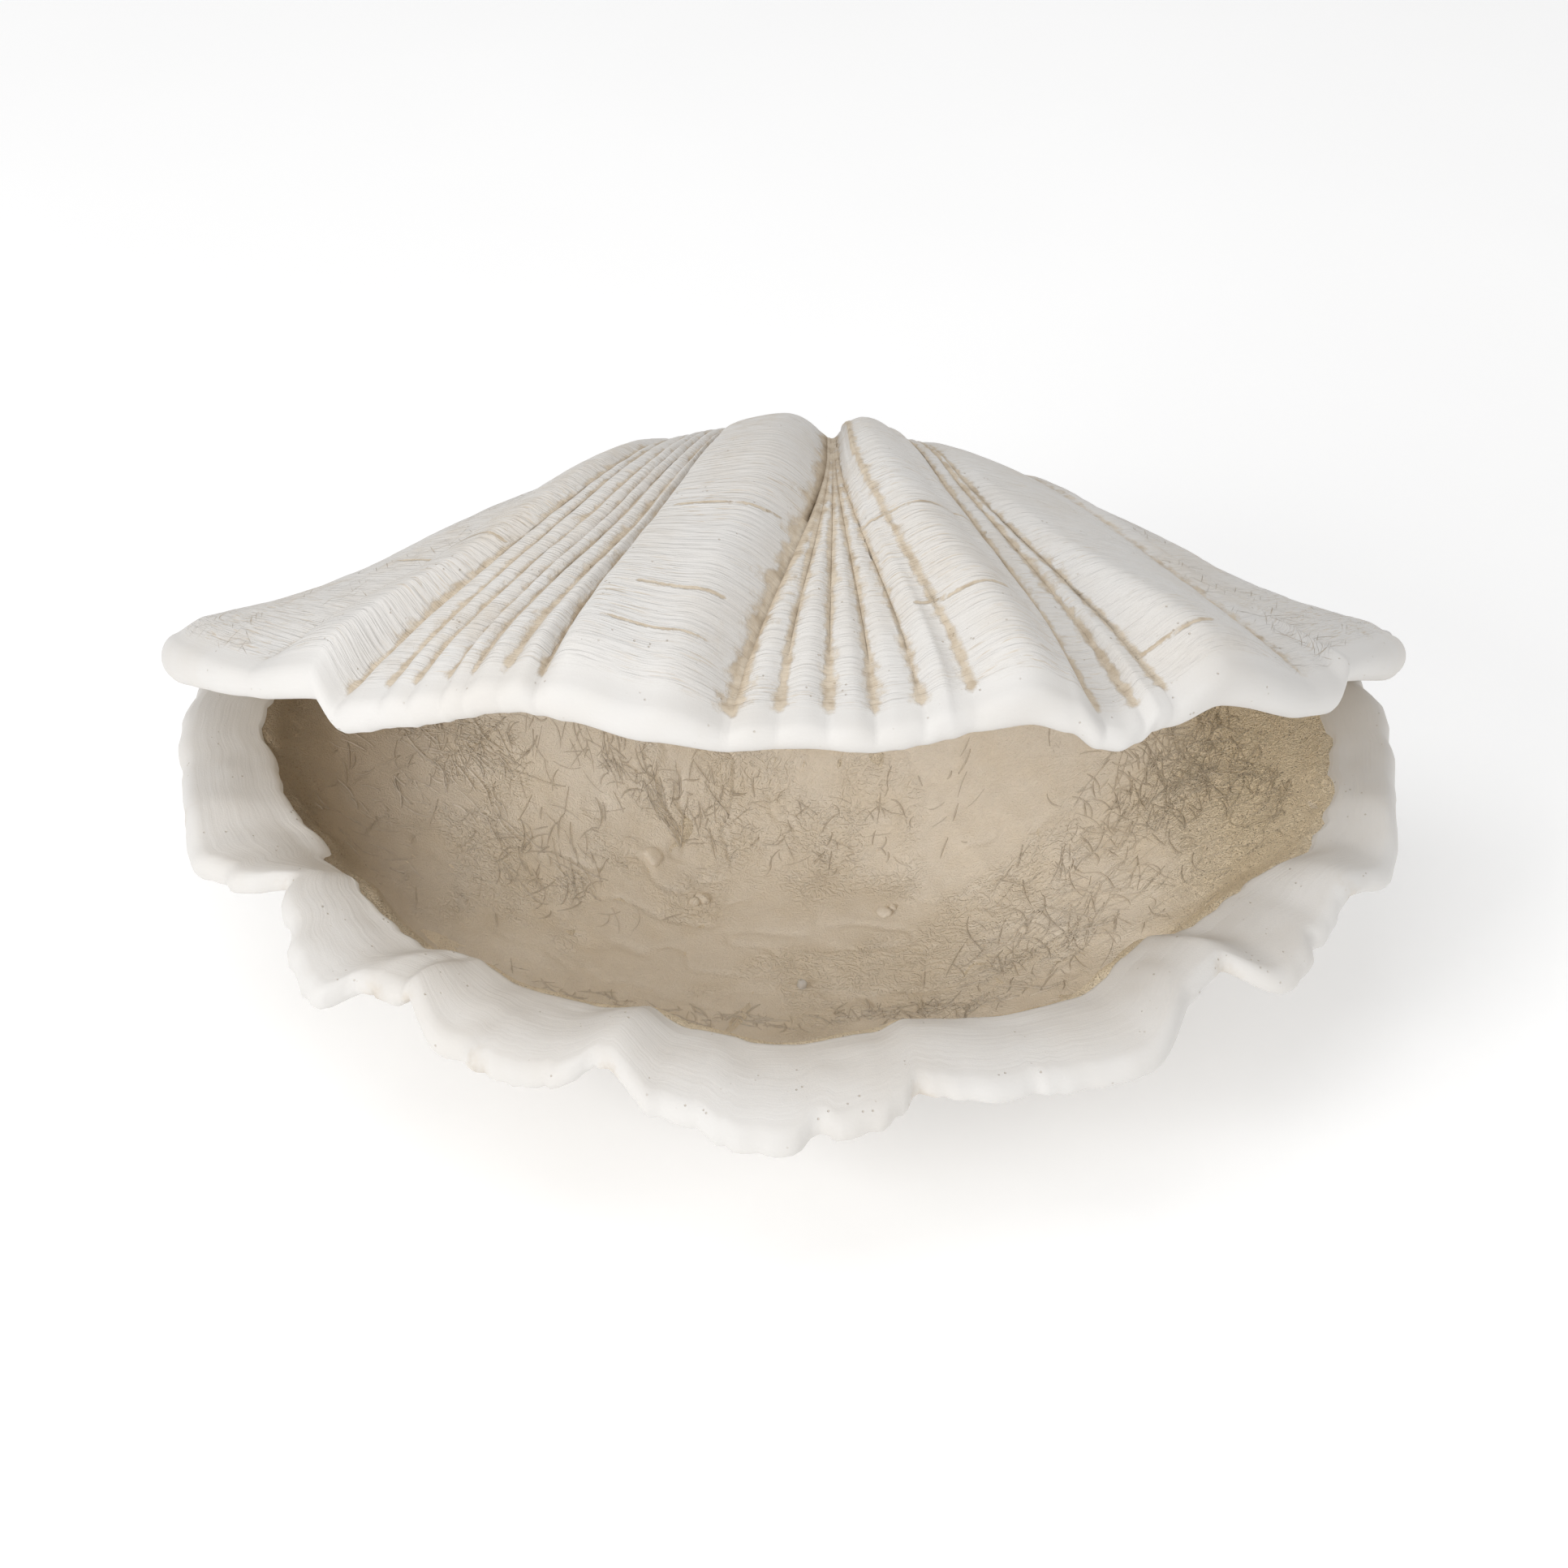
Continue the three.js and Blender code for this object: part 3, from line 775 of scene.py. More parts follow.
def build_ragged_wash():
    """A stain with a ragged edge where closeness passes the threshold."""
    inputs = [("Closeness", 0.0), ("Place", (0.0, 0.0, 0.0)), ("Scale", 150.0), ("Raggedness", 0.8),
              ("Threshold", 0.5), ("Softness", 0.15)]
    tree, into, out = new_group("ragged wash", inputs, ["Mask"])
    grain = noise(tree, into.outputs["Place"], into.outputs["Scale"], 5.0, 0.62)
    shift = times(tree, math_node(tree, "SUBTRACT", grain, 0.5), into.outputs["Raggedness"])
    value = math_node(tree, "ADD", into.outputs["Closeness"], shift)
    low = math_node(tree, "SUBTRACT", into.outputs["Threshold"], into.outputs["Softness"])
    high = math_node(tree, "ADD", into.outputs["Threshold"], into.outputs["Softness"])
    tree.links.new(ramp(tree, value, low, high), out.inputs["Mask"])


def build_cast_grain():
    """Fine grain and sparse pinholes of a cast surface."""
    inputs = [("Place", (0.0, 0.0, 0.0)), ("Grain mm", 1.2), ("Pinhole mm", 5.0)]
    tree, into, out = new_group("cast grain", inputs, ["Height", "Pinholes"])
    grain = noise(tree, into.outputs["Place"], per_metre(tree, into.outputs["Grain mm"]), 3.0, 0.6)
    spots = tree.nodes.new("ShaderNodeTexVoronoi")
    set_input(tree, spots.inputs["Vector"], into.outputs["Place"])
    set_input(tree, spots.inputs["Scale"], per_metre(tree, into.outputs["Pinhole mm"]))
    rare = noise(tree, into.outputs["Place"], per_metre(tree, into.outputs["Pinhole mm"], 300.0), 1.0)
    holes = times(tree, ramp(tree, spots.outputs["Distance"], 0.16, 0.08), ramp(tree, rare, 0.56, 0.64))
    tree.links.new(grain, out.inputs["Height"])
    tree.links.new(holes, out.inputs["Pinholes"])


def build_fibre_mat():
    """Short fibres lying in several directions under a skin of resin."""
    inputs = [("Place", (0.0, 0.0, 0.0)), ("Fibre mm", 1.1), ("Length mm", 16.0)]
    tree, into, out = new_group("fibre mat", inputs, ["Height", "Gaps"])
    wide = per_metre(tree, into.outputs["Fibre mm"])
    long = per_metre(tree, into.outputs["Length mm"])
    bent = tree.nodes.new("ShaderNodeTexNoise")
    set_input(tree, bent.inputs["Vector"], into.outputs["Place"])
    bent.inputs["Scale"].default_value = 45.0
    wander = tree.nodes.new("ShaderNodeVectorMath")
    wander.operation = "MULTIPLY_ADD"
    tree.links.new(bent.outputs["Color"], wander.inputs[0])
    wander.inputs[1].default_value = (0.012, 0.012, 0.012)
    tree.links.new(into.outputs["Place"], wander.inputs[2])
    heights = []
    for angles in ((10, 20, 15), (35, -15, 75), (-25, 30, 130), (15, -40, 165)):
        stretch = combine(tree, long, wide, wide)
        streak = noise(tree, scaled(tree, turned(tree, wander.outputs[0], angles), stretch), 1.0, 1.0, 0.4)
        heights.append(ramp(tree, streak, 0.55, 0.68))
    top = heights[0]
    for other in heights[1:]:
        top = math_node(tree, "MAXIMUM", top, other)
    rare = noise(tree, into.outputs["Place"], 700.0, 2.0)
    gaps = times(tree, ramp(tree, top, 0.25, 0.0), ramp(tree, rare, 0.58, 0.66))
    tree.links.new(top, out.inputs["Height"])
    tree.links.new(gaps, out.inputs["Gaps"])


def start_material(name, color, roughness):
    material = bpy.data.materials.new(name)
    material.use_nodes = True
    material.diffuse_color = (*color, 1.0)
    tree = material.node_tree
    shader = tree.nodes["Principled BSDF"]
    shader.inputs["Roughness"].default_value = roughness
    return material, tree, shader


def add_bump(tree, shader, height):
    """Height is in millimetres."""
    bump = tree.nodes.new("ShaderNodeBump")
    bump.inputs["Strength"].default_value = 1.0
    bump.inputs["Distance"].default_value = MM
    tree.links.new(height, bump.inputs["Height"])
    tree.links.new(bump.outputs["Normal"], shader.inputs["Normal"])


def object_place(tree):
    return tree.nodes.new("ShaderNodeTexCoord").outputs["Object"]


def paint_material():
    """Matt white paint with a beige wash left in the grooves and growth lines."""
    existing = bpy.data.materials.get("painted_shell_finish")
    if existing:
        return existing
    looks = bpy.context.scene.clam_finish
    material, tree, shader = start_material("painted_shell_finish", looks.paint, looks.paint_roughness)
    shader.inputs["Specular IOR Level"].default_value = 0.35
    place = object_place(tree)
    shell_map = attribute(tree, "shell_map", "Vector")
    ribbed = attribute(tree, "ribbed")
    dark_wash = (*looks.dark_wash, 1.0)

    ridges = use_group(tree, "growth ridges", Map=shell_map)
    threads = use_group(tree, "growth ridges", Map=shell_map, Pitch_mm=1.5, Length_mm=22.0)
    brush = use_group(tree, "growth ridges", Map=shell_map, Pitch_mm=7.0, Length_mm=90.0)
    grain = use_group(tree, "cast grain", Place=place)
    patches = ramp(tree, noise(tree, place, 14.0, 3.0, 0.6), 0.38, 0.62)

    washes = []
    for layer, scale, raggedness, threshold, softness in (
        ("groove", 170.0, 1.1, 0.5, 0.26),
        ("growth_line", 260.0, 0.7, 0.62, 0.16),
        ("stain", 90.0, 1.0, 0.6, 0.4),
    ):
        outputs = use_group(tree, "ragged wash", Closeness=attribute(tree, layer), Place=place, Scale=scale,
                            Raggedness=raggedness, Threshold=threshold, Softness=softness)
        washes.append(outputs["Mask"])
    groove, line, stain = washes
    troughs = times(tree, threads["Trough"], times(tree, patches, ribbed))
    scratch_patches = ramp(tree, noise(tree, place, 30.0, 2.0), 0.42, 0.6)
    scratch = times(tree, attribute(tree, "scratched"), scratch_patches)
    crossing = 0.0
    for angle in (24, -31, 62):
        stretched = scaled(tree, turned(tree, shell_map, (0, 0, angle)), (16.0, 620.0, 1.0))
        streak = noise(tree, stretched, 1.0, 1.0, 0.5)
        crossing = math_node(tree, "MAXIMUM", ramp(tree, streak, 0.66, 0.72), crossing)
    scratch = times(tree, scratch, crossing)
    wash = times(tree, groove, looks.groove_wash)
    for mask, strength in (
        (line, looks.groove_wash), (stain, 0.55), (troughs, looks.line_wash), (scratch, 0.8),
    ):
        wash = math_node(tree, "MAXIMUM", wash, times(tree, mask, strength))
    clouds = ramp(tree, noise(tree, place, 22.0, 4.0, 0.62), 0.45, 0.75)
    haze = times(tree, clouds, times(tree, ribbed, looks.haze))
    wash = math_node(tree, "MAXIMUM", wash, haze, clamp=True)

    tone = ramp(tree, noise(tree, place, 9.0, 4.0, 0.6), 0.35, 0.7)
    base = blend(tree, tone, (*looks.paint, 1.0), (*looks.warm_paint, 1.0))
    gathered = ramp(tree, noise(tree, place, 120.0, 3.0), 0.4, 0.7)
    base = blend(tree, wash, base, blend(tree, gathered, (*looks.wash, 1.0), dark_wash))
    base = blend(tree, times(tree, grain["Pinholes"], 0.5), base, dark_wash)
    tree.links.new(base, shader.inputs["Base Color"])
    tree.links.new(ramp(tree, wash, 0.0, 1.0, looks.paint_roughness, 0.92), shader.inputs["Roughness"])
    height = times(tree, ridges["Height"], times(tree, ribbed, 0.5))
    height = stacked(tree, height, (threads["Height"], times(tree, ribbed, 0.22)), (scratch, -0.5),
                     (brush["Height"], 0.12), (grain["Height"], 0.12), (groove, -0.5), (line, -0.45),
                     (grain["Pinholes"], -0.4))
    add_bump(tree, shader, height)
    return material


def lining_material():
    """Bare glass-fibre resin: beige where it pooled, ochre and speckled where the mat lies dry, with painted
    shade in brown on the left wall and the strands.
    """
    existing = bpy.data.materials.get("raw_lining_finish")
    if existing:
        return existing
    looks = bpy.context.scene.clam_finish
    material, tree, shader = start_material("raw_lining_finish", looks.resin, 0.6)
    shader.inputs["Specular IOR Level"].default_value = 0.4
    place = object_place(tree)
    dry = use_group(tree, "ragged wash", Closeness=attribute(tree, "dry_mat"), Place=place, Scale=28.0,
                    Raggedness=0.45, Threshold=0.5, Softness=0.35)["Mask"]
    mat = use_group(tree, "fibre mat", Place=place)
    coarse = use_group(tree, "fibre mat", Place=place, Fibre_mm=2.6, Length_mm=30.0)
    grain = use_group(tree, "cast grain", Place=place, Grain_mm=0.9, Pinhole_mm=1.8)
    tone = ramp(tree, noise(tree, place, 16.0, 4.0, 0.6), 0.35, 0.7)
    base = blend(tree, tone, (*looks.resin, 1.0), (*looks.warm_resin, 1.0))
    pits = math_node(tree, "MAXIMUM", mat["Gaps"], grain["Pinholes"])
    specks = times(tree, pits, ramp(tree, dry, 0.1, 0.9, 0.1, 0.75))
    for mask, color in (
        (times(tree, dry, 0.75), looks.ochre),
        # Painted shade: brown over the left wall and the strands, standing in for their shadow.
        (times(tree, attribute(tree, "thin_resin"), 0.85), looks.thin_resin),
        (specks, looks.pit),
    ):
        base = blend(tree, mask, base, (*color, 1.0))
    tree.links.new(base, shader.inputs["Base Color"])
    tree.links.new(ramp(tree, dry, 0.0, 1.0, 0.55, 0.8), shader.inputs["Roughness"])
    coarse_relief = ramp(tree, noise(tree, place, 14.0, 2.0), 0.46, 0.6, 0.0, 0.6)
    height = times(tree, mat["Height"], ramp(tree, dry, 0.0, 1.0, 0.18, 0.8))
    height = stacked(tree, height, (coarse["Height"], coarse_relief), (grain["Height"], 0.25),
                     (specks, -0.5))
    add_bump(tree, shader, height)
    return material


def floor_material(color, glow):
    material, tree, shader = start_material("pale_floor", color, 0.9)
    tone = ramp(tree, noise(tree, object_place(tree), 3.0, 3.0), 0.3, 0.7)
    shade = tuple(0.985 * part for part in color)
    tree.links.new(blend(tree, tone, (*color, 1.0), (*shade, 1.0)), shader.inputs["Base Color"])
    shader.inputs["Emission Color"].default_value = (1.0, 1.0, 1.0, 1.0)
    shader.inputs["Emission Strength"].default_value = glow
    return material


def valve_layout(valve, sizes):
    """Columns, the age of the chipped margin and the age of the ragged paint edge."""
    u = column_places(valve, sizes.columns_per_degree, sizes.least_columns)
    margin = face_points(valve, u, np.zeros_like(u))
    across = run_lengths(margin)
    at = station_at(valve, u)
    if valve is LOWER:
        pitch, seed = CHIP_ZONES
        rough = ease(0.45 + 0.9 * lumps(across, 0.0, 0.5, pitch, seed))
        chips = 0.0
        for (depth, pitch, power, seed), share in zip(CHIPS, (0.25 + rough, rough)):
            chips = chips + depth * np.maximum(lumps(across, 0.0, 0.5, pitch, seed), 0) ** power * share
        chips = chips * sizes.chipping + RIM_TRIM
    else:
        least, height, pitch, seed = UPPER_CHIPS
        chips = least + height * lumps(across, 0.0, 0.5, pitch, seed)
    margin_age = chips / valve.reach
    side_share = ease((np.abs(at.fan) - 42) / 14)
    ragged = sum(height * lumps(across, 0.0, 0.5, pitch, seed) for height, pitch, seed in PAINT_EDGE)
    jag = mix(*PAINT_JAG, side_share) * ragged + side_share
    if valve is UPPER:
        jag = UPPER_PAINT_JAG * ragged
    paint_age = np.maximum(at.rim + jag / valve.reach, LEAST_PAINT_AGE)
    return SimpleNamespace(u=u, across=across, at=at, margin_age=margin_age, paint_age=paint_age)


def groove_closeness(valve, layout, grid, size):
    """Depth cut by the grooves and closeness to a groove, over a grid on the outer face."""
    arc = run_lengths(grid)
    depth = np.zeros(arc.shape)
    close = np.zeros(arc.shape)

    def uneven(layer, offset):
        height, pitch, seed = layer
        return height * lumps(arc, size * AGE_MAP, order * offset, pitch, seed)

    for order, (station, cut, width, wash_width, strength, fade) in enumerate(valve.grooves):
        column = int(np.argmin(np.abs(layout.u - station)))
        away = np.abs(arc - arc[:, column:column + 1] + uneven(GROOVE_WANDER, 1.7))
        ragged = 1 + uneven(GROOVE_RAGGED, 2.3)
        lasting = ease((size - fade) / 0.12) * mix(1.0, 0.75, ease(1 - size))
        spread = np.minimum(1.0, 0.45 + 0.75 * size) * ragged
        depth = np.maximum(depth, cut * lasting * np.exp(-(away / (width * spread)) ** 2))
        core = np.exp(-(away / (WASH_CORE * wash_width * spread)) ** 2)
        patchy = WASH_HAZE + uneven(WASH_PATCHES, 3.1)
        haze = patchy * np.exp(-(away / (WASH_HAZE_WIDTH * wash_width * spread)) ** 2)
        close = np.maximum(close, strength * lasting * np.maximum(core, haze))
    return depth, close


def growth_line_closeness(layout, ages, across):
    """Closeness to the stained growth lines."""
    close = np.zeros(ages.shape)
    for first, last, age, width in GROWTH_LINES:
        wander = 0.004 * lumps(across, 0.0, age * 90, 30.0, 31)
        along = np.abs(ages - age + wander) * 560 * np.exp(-age)
        beyond = np.maximum(np.maximum(first - layout.u, layout.u - last), 0) * 25
        close = np.maximum(close, np.exp(-((along ** 2 + beyond[None, :] ** 2) / (2.2 * width) ** 2)))
    return close


def skin_details(valve, layout, grid, rows, growth, ages):
    """Displacement along the normal and shading layers of the painted skin."""
    outer, lip, flange = rows
    shape = grid.shape[:2]
    across = np.broadcast_to(layout.across, shape)
    growth = np.broadcast_to(growth[:, None], shape)
    size = np.exp(-ages)
    on_outer = np.zeros(shape)
    on_outer[:outer] = 1
    ribbed = on_outer * ease((growth - 8) / 9)
    depth = np.zeros(shape)
    groove = np.zeros(shape)
    depth[:outer], groove[:outer] = groove_closeness(valve, layout, grid[:outer], size[:outer])
    lines = np.zeros(shape)
    if valve is UPPER:
        lines[:outer] = growth_line_closeness(layout, ages[:outer], across[:outer])
    near_lip = ease((growth - 3) / 12)
    depth *= mix(0.2, 1.0, near_lip)
    groove *= near_lip

    move = relief_at(grid, BODY_LUMPS)
    if valve is LOWER:
        to_paint_edge = (layout.paint_age - ages) * valve.reach
        on_flange = ease((-growth - 2) / 12) * ease(to_paint_edge / 14)
        move = move + relief_at(grid, BRIM_LUMPS) * on_flange
    waves = sum(height * lumps(across / run, growth, 0.5, pitch, seed) for height, run, pitch, seed in WAVES)
    move = move + waves * ribbed - depth - 0.5 * lines * ribbed
    hidden = np.arange(shape[0]) >= outer + lip + flange
    move[hidden] = 0
    stain = 0.5 * ease(0.3 + lumps(across, growth, 0.5, *STAIN_PATCHES)) * ribbed
    if valve is LOWER:
        for station, *_ in valve.grooves:
            column = int(np.argmin(np.abs(layout.u - station)))
            near = np.exp(-((layout.across - layout.across[column]) / 12) ** 2)
            edge_zone = np.exp(-(growth / 16) ** 2) * (growth < 30)
            stain = np.maximum(stain, 0.75 * near[None, :] * edge_zone)
    toward_sides = ease((np.abs(layout.at.fan) - 46) / 10)
    scratched = ribbed * toward_sides * ease((size - 0.4) / 0.2) * (valve is UPPER)
    return move, {
        "groove": groove, "growth_line": lines, "stain": stain, "ribbed": ribbed, "scratched": scratched,
    }


def wall_rows(last_row, centre, count):
    """Rows from the end of the inner face up the umbo's front wall to its centre on the hinge face."""
    steps = np.linspace(0, 1, count + 1)[1:-1, None, None]
    return mix(last_row[None], centre, steps)


def build_skin(valve, sizes):
    """The painted body of a valve: outer face, lip, painted brim and the hidden back of the wall."""
    layout = valve_layout(valve, sizes)
    u = layout.u
    outer_count = sizes.outer_rows if valve is UPPER else sizes.outer_rows * 2 // 3
    ages, growth = centre_ages(valve, 0.0, AGE_SPAN, outer_count + 1)
    ages, growth = ages[:-1][::-1], growth[:-1][::-1]
    outer_ages = layout.margin_age + (AGE_SPAN - layout.margin_age) * (ages / AGE_SPAN)[:, None]
    outer = face_points(valve, u, outer_ages)
    lip_count = sizes.lip_rows
    lip = lip_rows(valve, u, layout.margin_age, lip_count)
    flange_ages = mix(layout.margin_age, layout.paint_age, np.linspace(0, 1, valve.brim_rows)[:, None])
    flange = face_points(valve, u, flange_ages, inner=True)
    back_share = np.linspace(SKIN_BACK_SHARES[2], 1, SKIN_BACK_ROWS)
    hidden_share = np.concatenate([SKIN_BACK_SHARES[:2], back_share])[:, None]
    hidden_ages = mix(layout.paint_age, INNER_LAST_AGE, hidden_share)
    hidden = face_points(valve, u, hidden_ages, inner=True)
    wall, into_wall = wall_between(valve, u, hidden_ages)
    dive = np.array(SKIN_BACK_DEPTHS[:2] + SKIN_BACK_DEPTHS[2:] * SKIN_BACK_ROWS)[:, None, None]
    hidden = hidden + into_wall * dive * depth_share(wall)
    hidden = raised(hidden, np.maximum(hidden @ AWAY, 0.0))

    local = np.concatenate([outer, lip, flange, hidden])
    lip_ages = np.broadcast_to(layout.margin_age, lip.shape[:2])
    all_ages = np.concatenate([outer_ages, lip_ages, flange_ages, hidden_ages])
    lip_growth = np.linspace(0, -LIP_MAP, lip_count + 1)[1:-1]
    flange_growth = np.linspace(-LIP_MAP, -LIP_MAP - valve.brim_map, len(flange))
    hidden_growth = flange_growth[-1] - np.arange(1, len(hidden) + 1) * BACK_MAP_STEP
    growth = np.concatenate([growth, lip_growth, flange_growth, hidden_growth])
    grid = to_frame(valve, local)
    inner_first = len(outer) + len(lip)
    if valve is LOWER:
        grid[:inner_first] = soft_floor(grid[:inner_first], 0.0)
        grid[inner_first:] = soft_floor(grid[inner_first:], SKIN_BACK_FLOOR)
    normal = grid_normals(grid, -valve.side)
    move, layers = skin_details(valve, layout, grid, (len(outer), len(lip), len(flange)), growth, all_ages)
    keep_floor = ease((grid[..., 2] - FLAT_FOOT) / FOOT_FADE) if valve is LOWER else 1.0
    hinge_band = ease((local @ AWAY - 6.9) / HINGE_FADE)
    hinge_band[inner_first:] = ease((local[inner_first:] @ AWAY) / BRIM_HINGE_FADE)
    wall, _ = wall_between(valve, u, outer_ages)
    move[:len(outer)] = np.maximum(move[:len(outer)], -CUT_SHARE * wall)
    grid = grid + normal * (move * keep_floor * hinge_band)[..., None]
    if valve is LOWER:
        grid[..., 2] = np.maximum(grid[..., 2], 0.0)

    rows, columns = grid.shape[:2]
    numbers = np.arange(rows * columns).reshape(rows, columns)
    extra = []

    def add(points):
        first = rows * columns + sum(len(chunk) for chunk in extra)
        extra.append(np.atleast_2d(points))
        return list(range(first, first + len(extra[-1])))

    pole_place = to_frame(valve, face_points(valve, 0.0, AGE_SPAN))
    pole, = add(soft_floor(pole_place, 0.0) if valve is LOWER else pole_place)
    centre, = add(to_frame(valve, np.array([UMBO_X, 0, 0]) + ALONG * HINGE_FACE_WIDTH))
    faces = grid_faces(numbers)
    faces += [(pole, numbers[0, c + 1], numbers[0, c]) for c in range(columns - 1)]
    faces += [(centre, numbers[-1, c], numbers[-1, c + 1]) for c in range(columns - 1)]

    # The back edge: a rounded band down to the hinge line under both end columns of the outer face.
    margin_row = len(outer) - 1
    inner_row = margin_row + lip_count
    hinge_pole, = add(to_frame(valve, np.array([UMBO_X, 0.0, 0.0])))
    chains = []
    for column in (0, -1):
        foot = face_points(valve, u[column], outer_ages[:, column]) * (1.0, 0.0, 0.0)
        chain = add(to_frame(valve, foot))
        chains.append(chain)
        edge = numbers[:margin_row + 1, column]
        around_lip = numbers[margin_row:inner_row + 1, column]
        band = [(edge[r], edge[r + 1], chain[r + 1], chain[r]) for r in range(margin_row)]
        band.append((pole, edge[0], chain[0], hinge_pole))
        band += [(around_lip[k], around_lip[k + 1], chain[-1]) for k in range(lip_count)]
        faces += band if column == 0 else [face[::-1] for face in band]
    rear = chains[0][::-1] + [hinge_pole] + chains[1]
    front = numbers[inner_row:, 0].tolist() + [centre] + numbers[inner_row:, -1].tolist()[::-1]
    points = np.concatenate([grid.reshape(-1, 3)] + extra)
    faces += zip_strip(rear, front, points[rear, 0], points[front, 0])

    layers = {name: padded(values, len(points) - rows * columns) for name, values in layers.items()}
    map_across, map_along = np.broadcast_arrays(layout.across, growth[:, None])
    shell_map = np.stack([map_across, map_along, np.zeros(map_along.shape)], -1).reshape(-1, 3)
    layers["shell_map"] = np.concatenate([shell_map * MM, points[rows * columns:] * MM])
    make_piece(f"{valve.name}_shell_skin", points, wound(valve, faces), layers, paint_material(),
               [valve.node])


def dry_mat(valve, grid, edge_distance):
    """How dry the fibre mat lies: to the right, a little to the left and along the paint edge."""
    if valve is UPPER:
        height, pitch, seed = UPPER_DRY_MAT
        return np.clip(0.55 + height * lumps_at(grid, pitch, seed), 0, 1)
    x = grid[..., 0]
    zones = (ease(beyond(x, DRY_RIGHT)), ease(beyond(-x, DRY_LEFT)), edge_distance)
    return np.clip(sum(share * zone for share, zone in zip(DRY_SHARES, zones)), 0, 1.2)


def lining_relief(valve, grid, dry, by_edge):
    """Lumps, creases and the fold of the mat, in millimetres along the normal."""
    rough = mix(0.45, 1.0, np.clip(dry, 0, 1))
    move = relief_at(grid, LINING_LUMPS)
    for height, pitch, seed in FINE_LINING_LUMPS:
        move += height * lumps_at(grid, pitch, seed) * rough
    height, pitch, seed = CREASES
    crease = np.maximum(1 - np.abs(lumps_at(grid, pitch, seed)) / CREASE_WIDTH, 0)
    crease = crease * ease(0.5 + 2 * lumps_at(grid, *CREASE_ZONES))
    move += height * crease * (1 - by_edge)
    if valve is LOWER:
        start, end = (np.array(point, float) for point in RIDGE)
        share = np.clip((grid - start) @ (end - start) / ((end - start) @ (end - start)), 0, 1)
        from_ridge = np.linalg.norm(grid - start - share[..., None] * (end - start), axis=-1)
        move += RIDGE_HEIGHT * np.exp(-(from_ridge / RIDGE_WIDTH) ** 2)
    return move


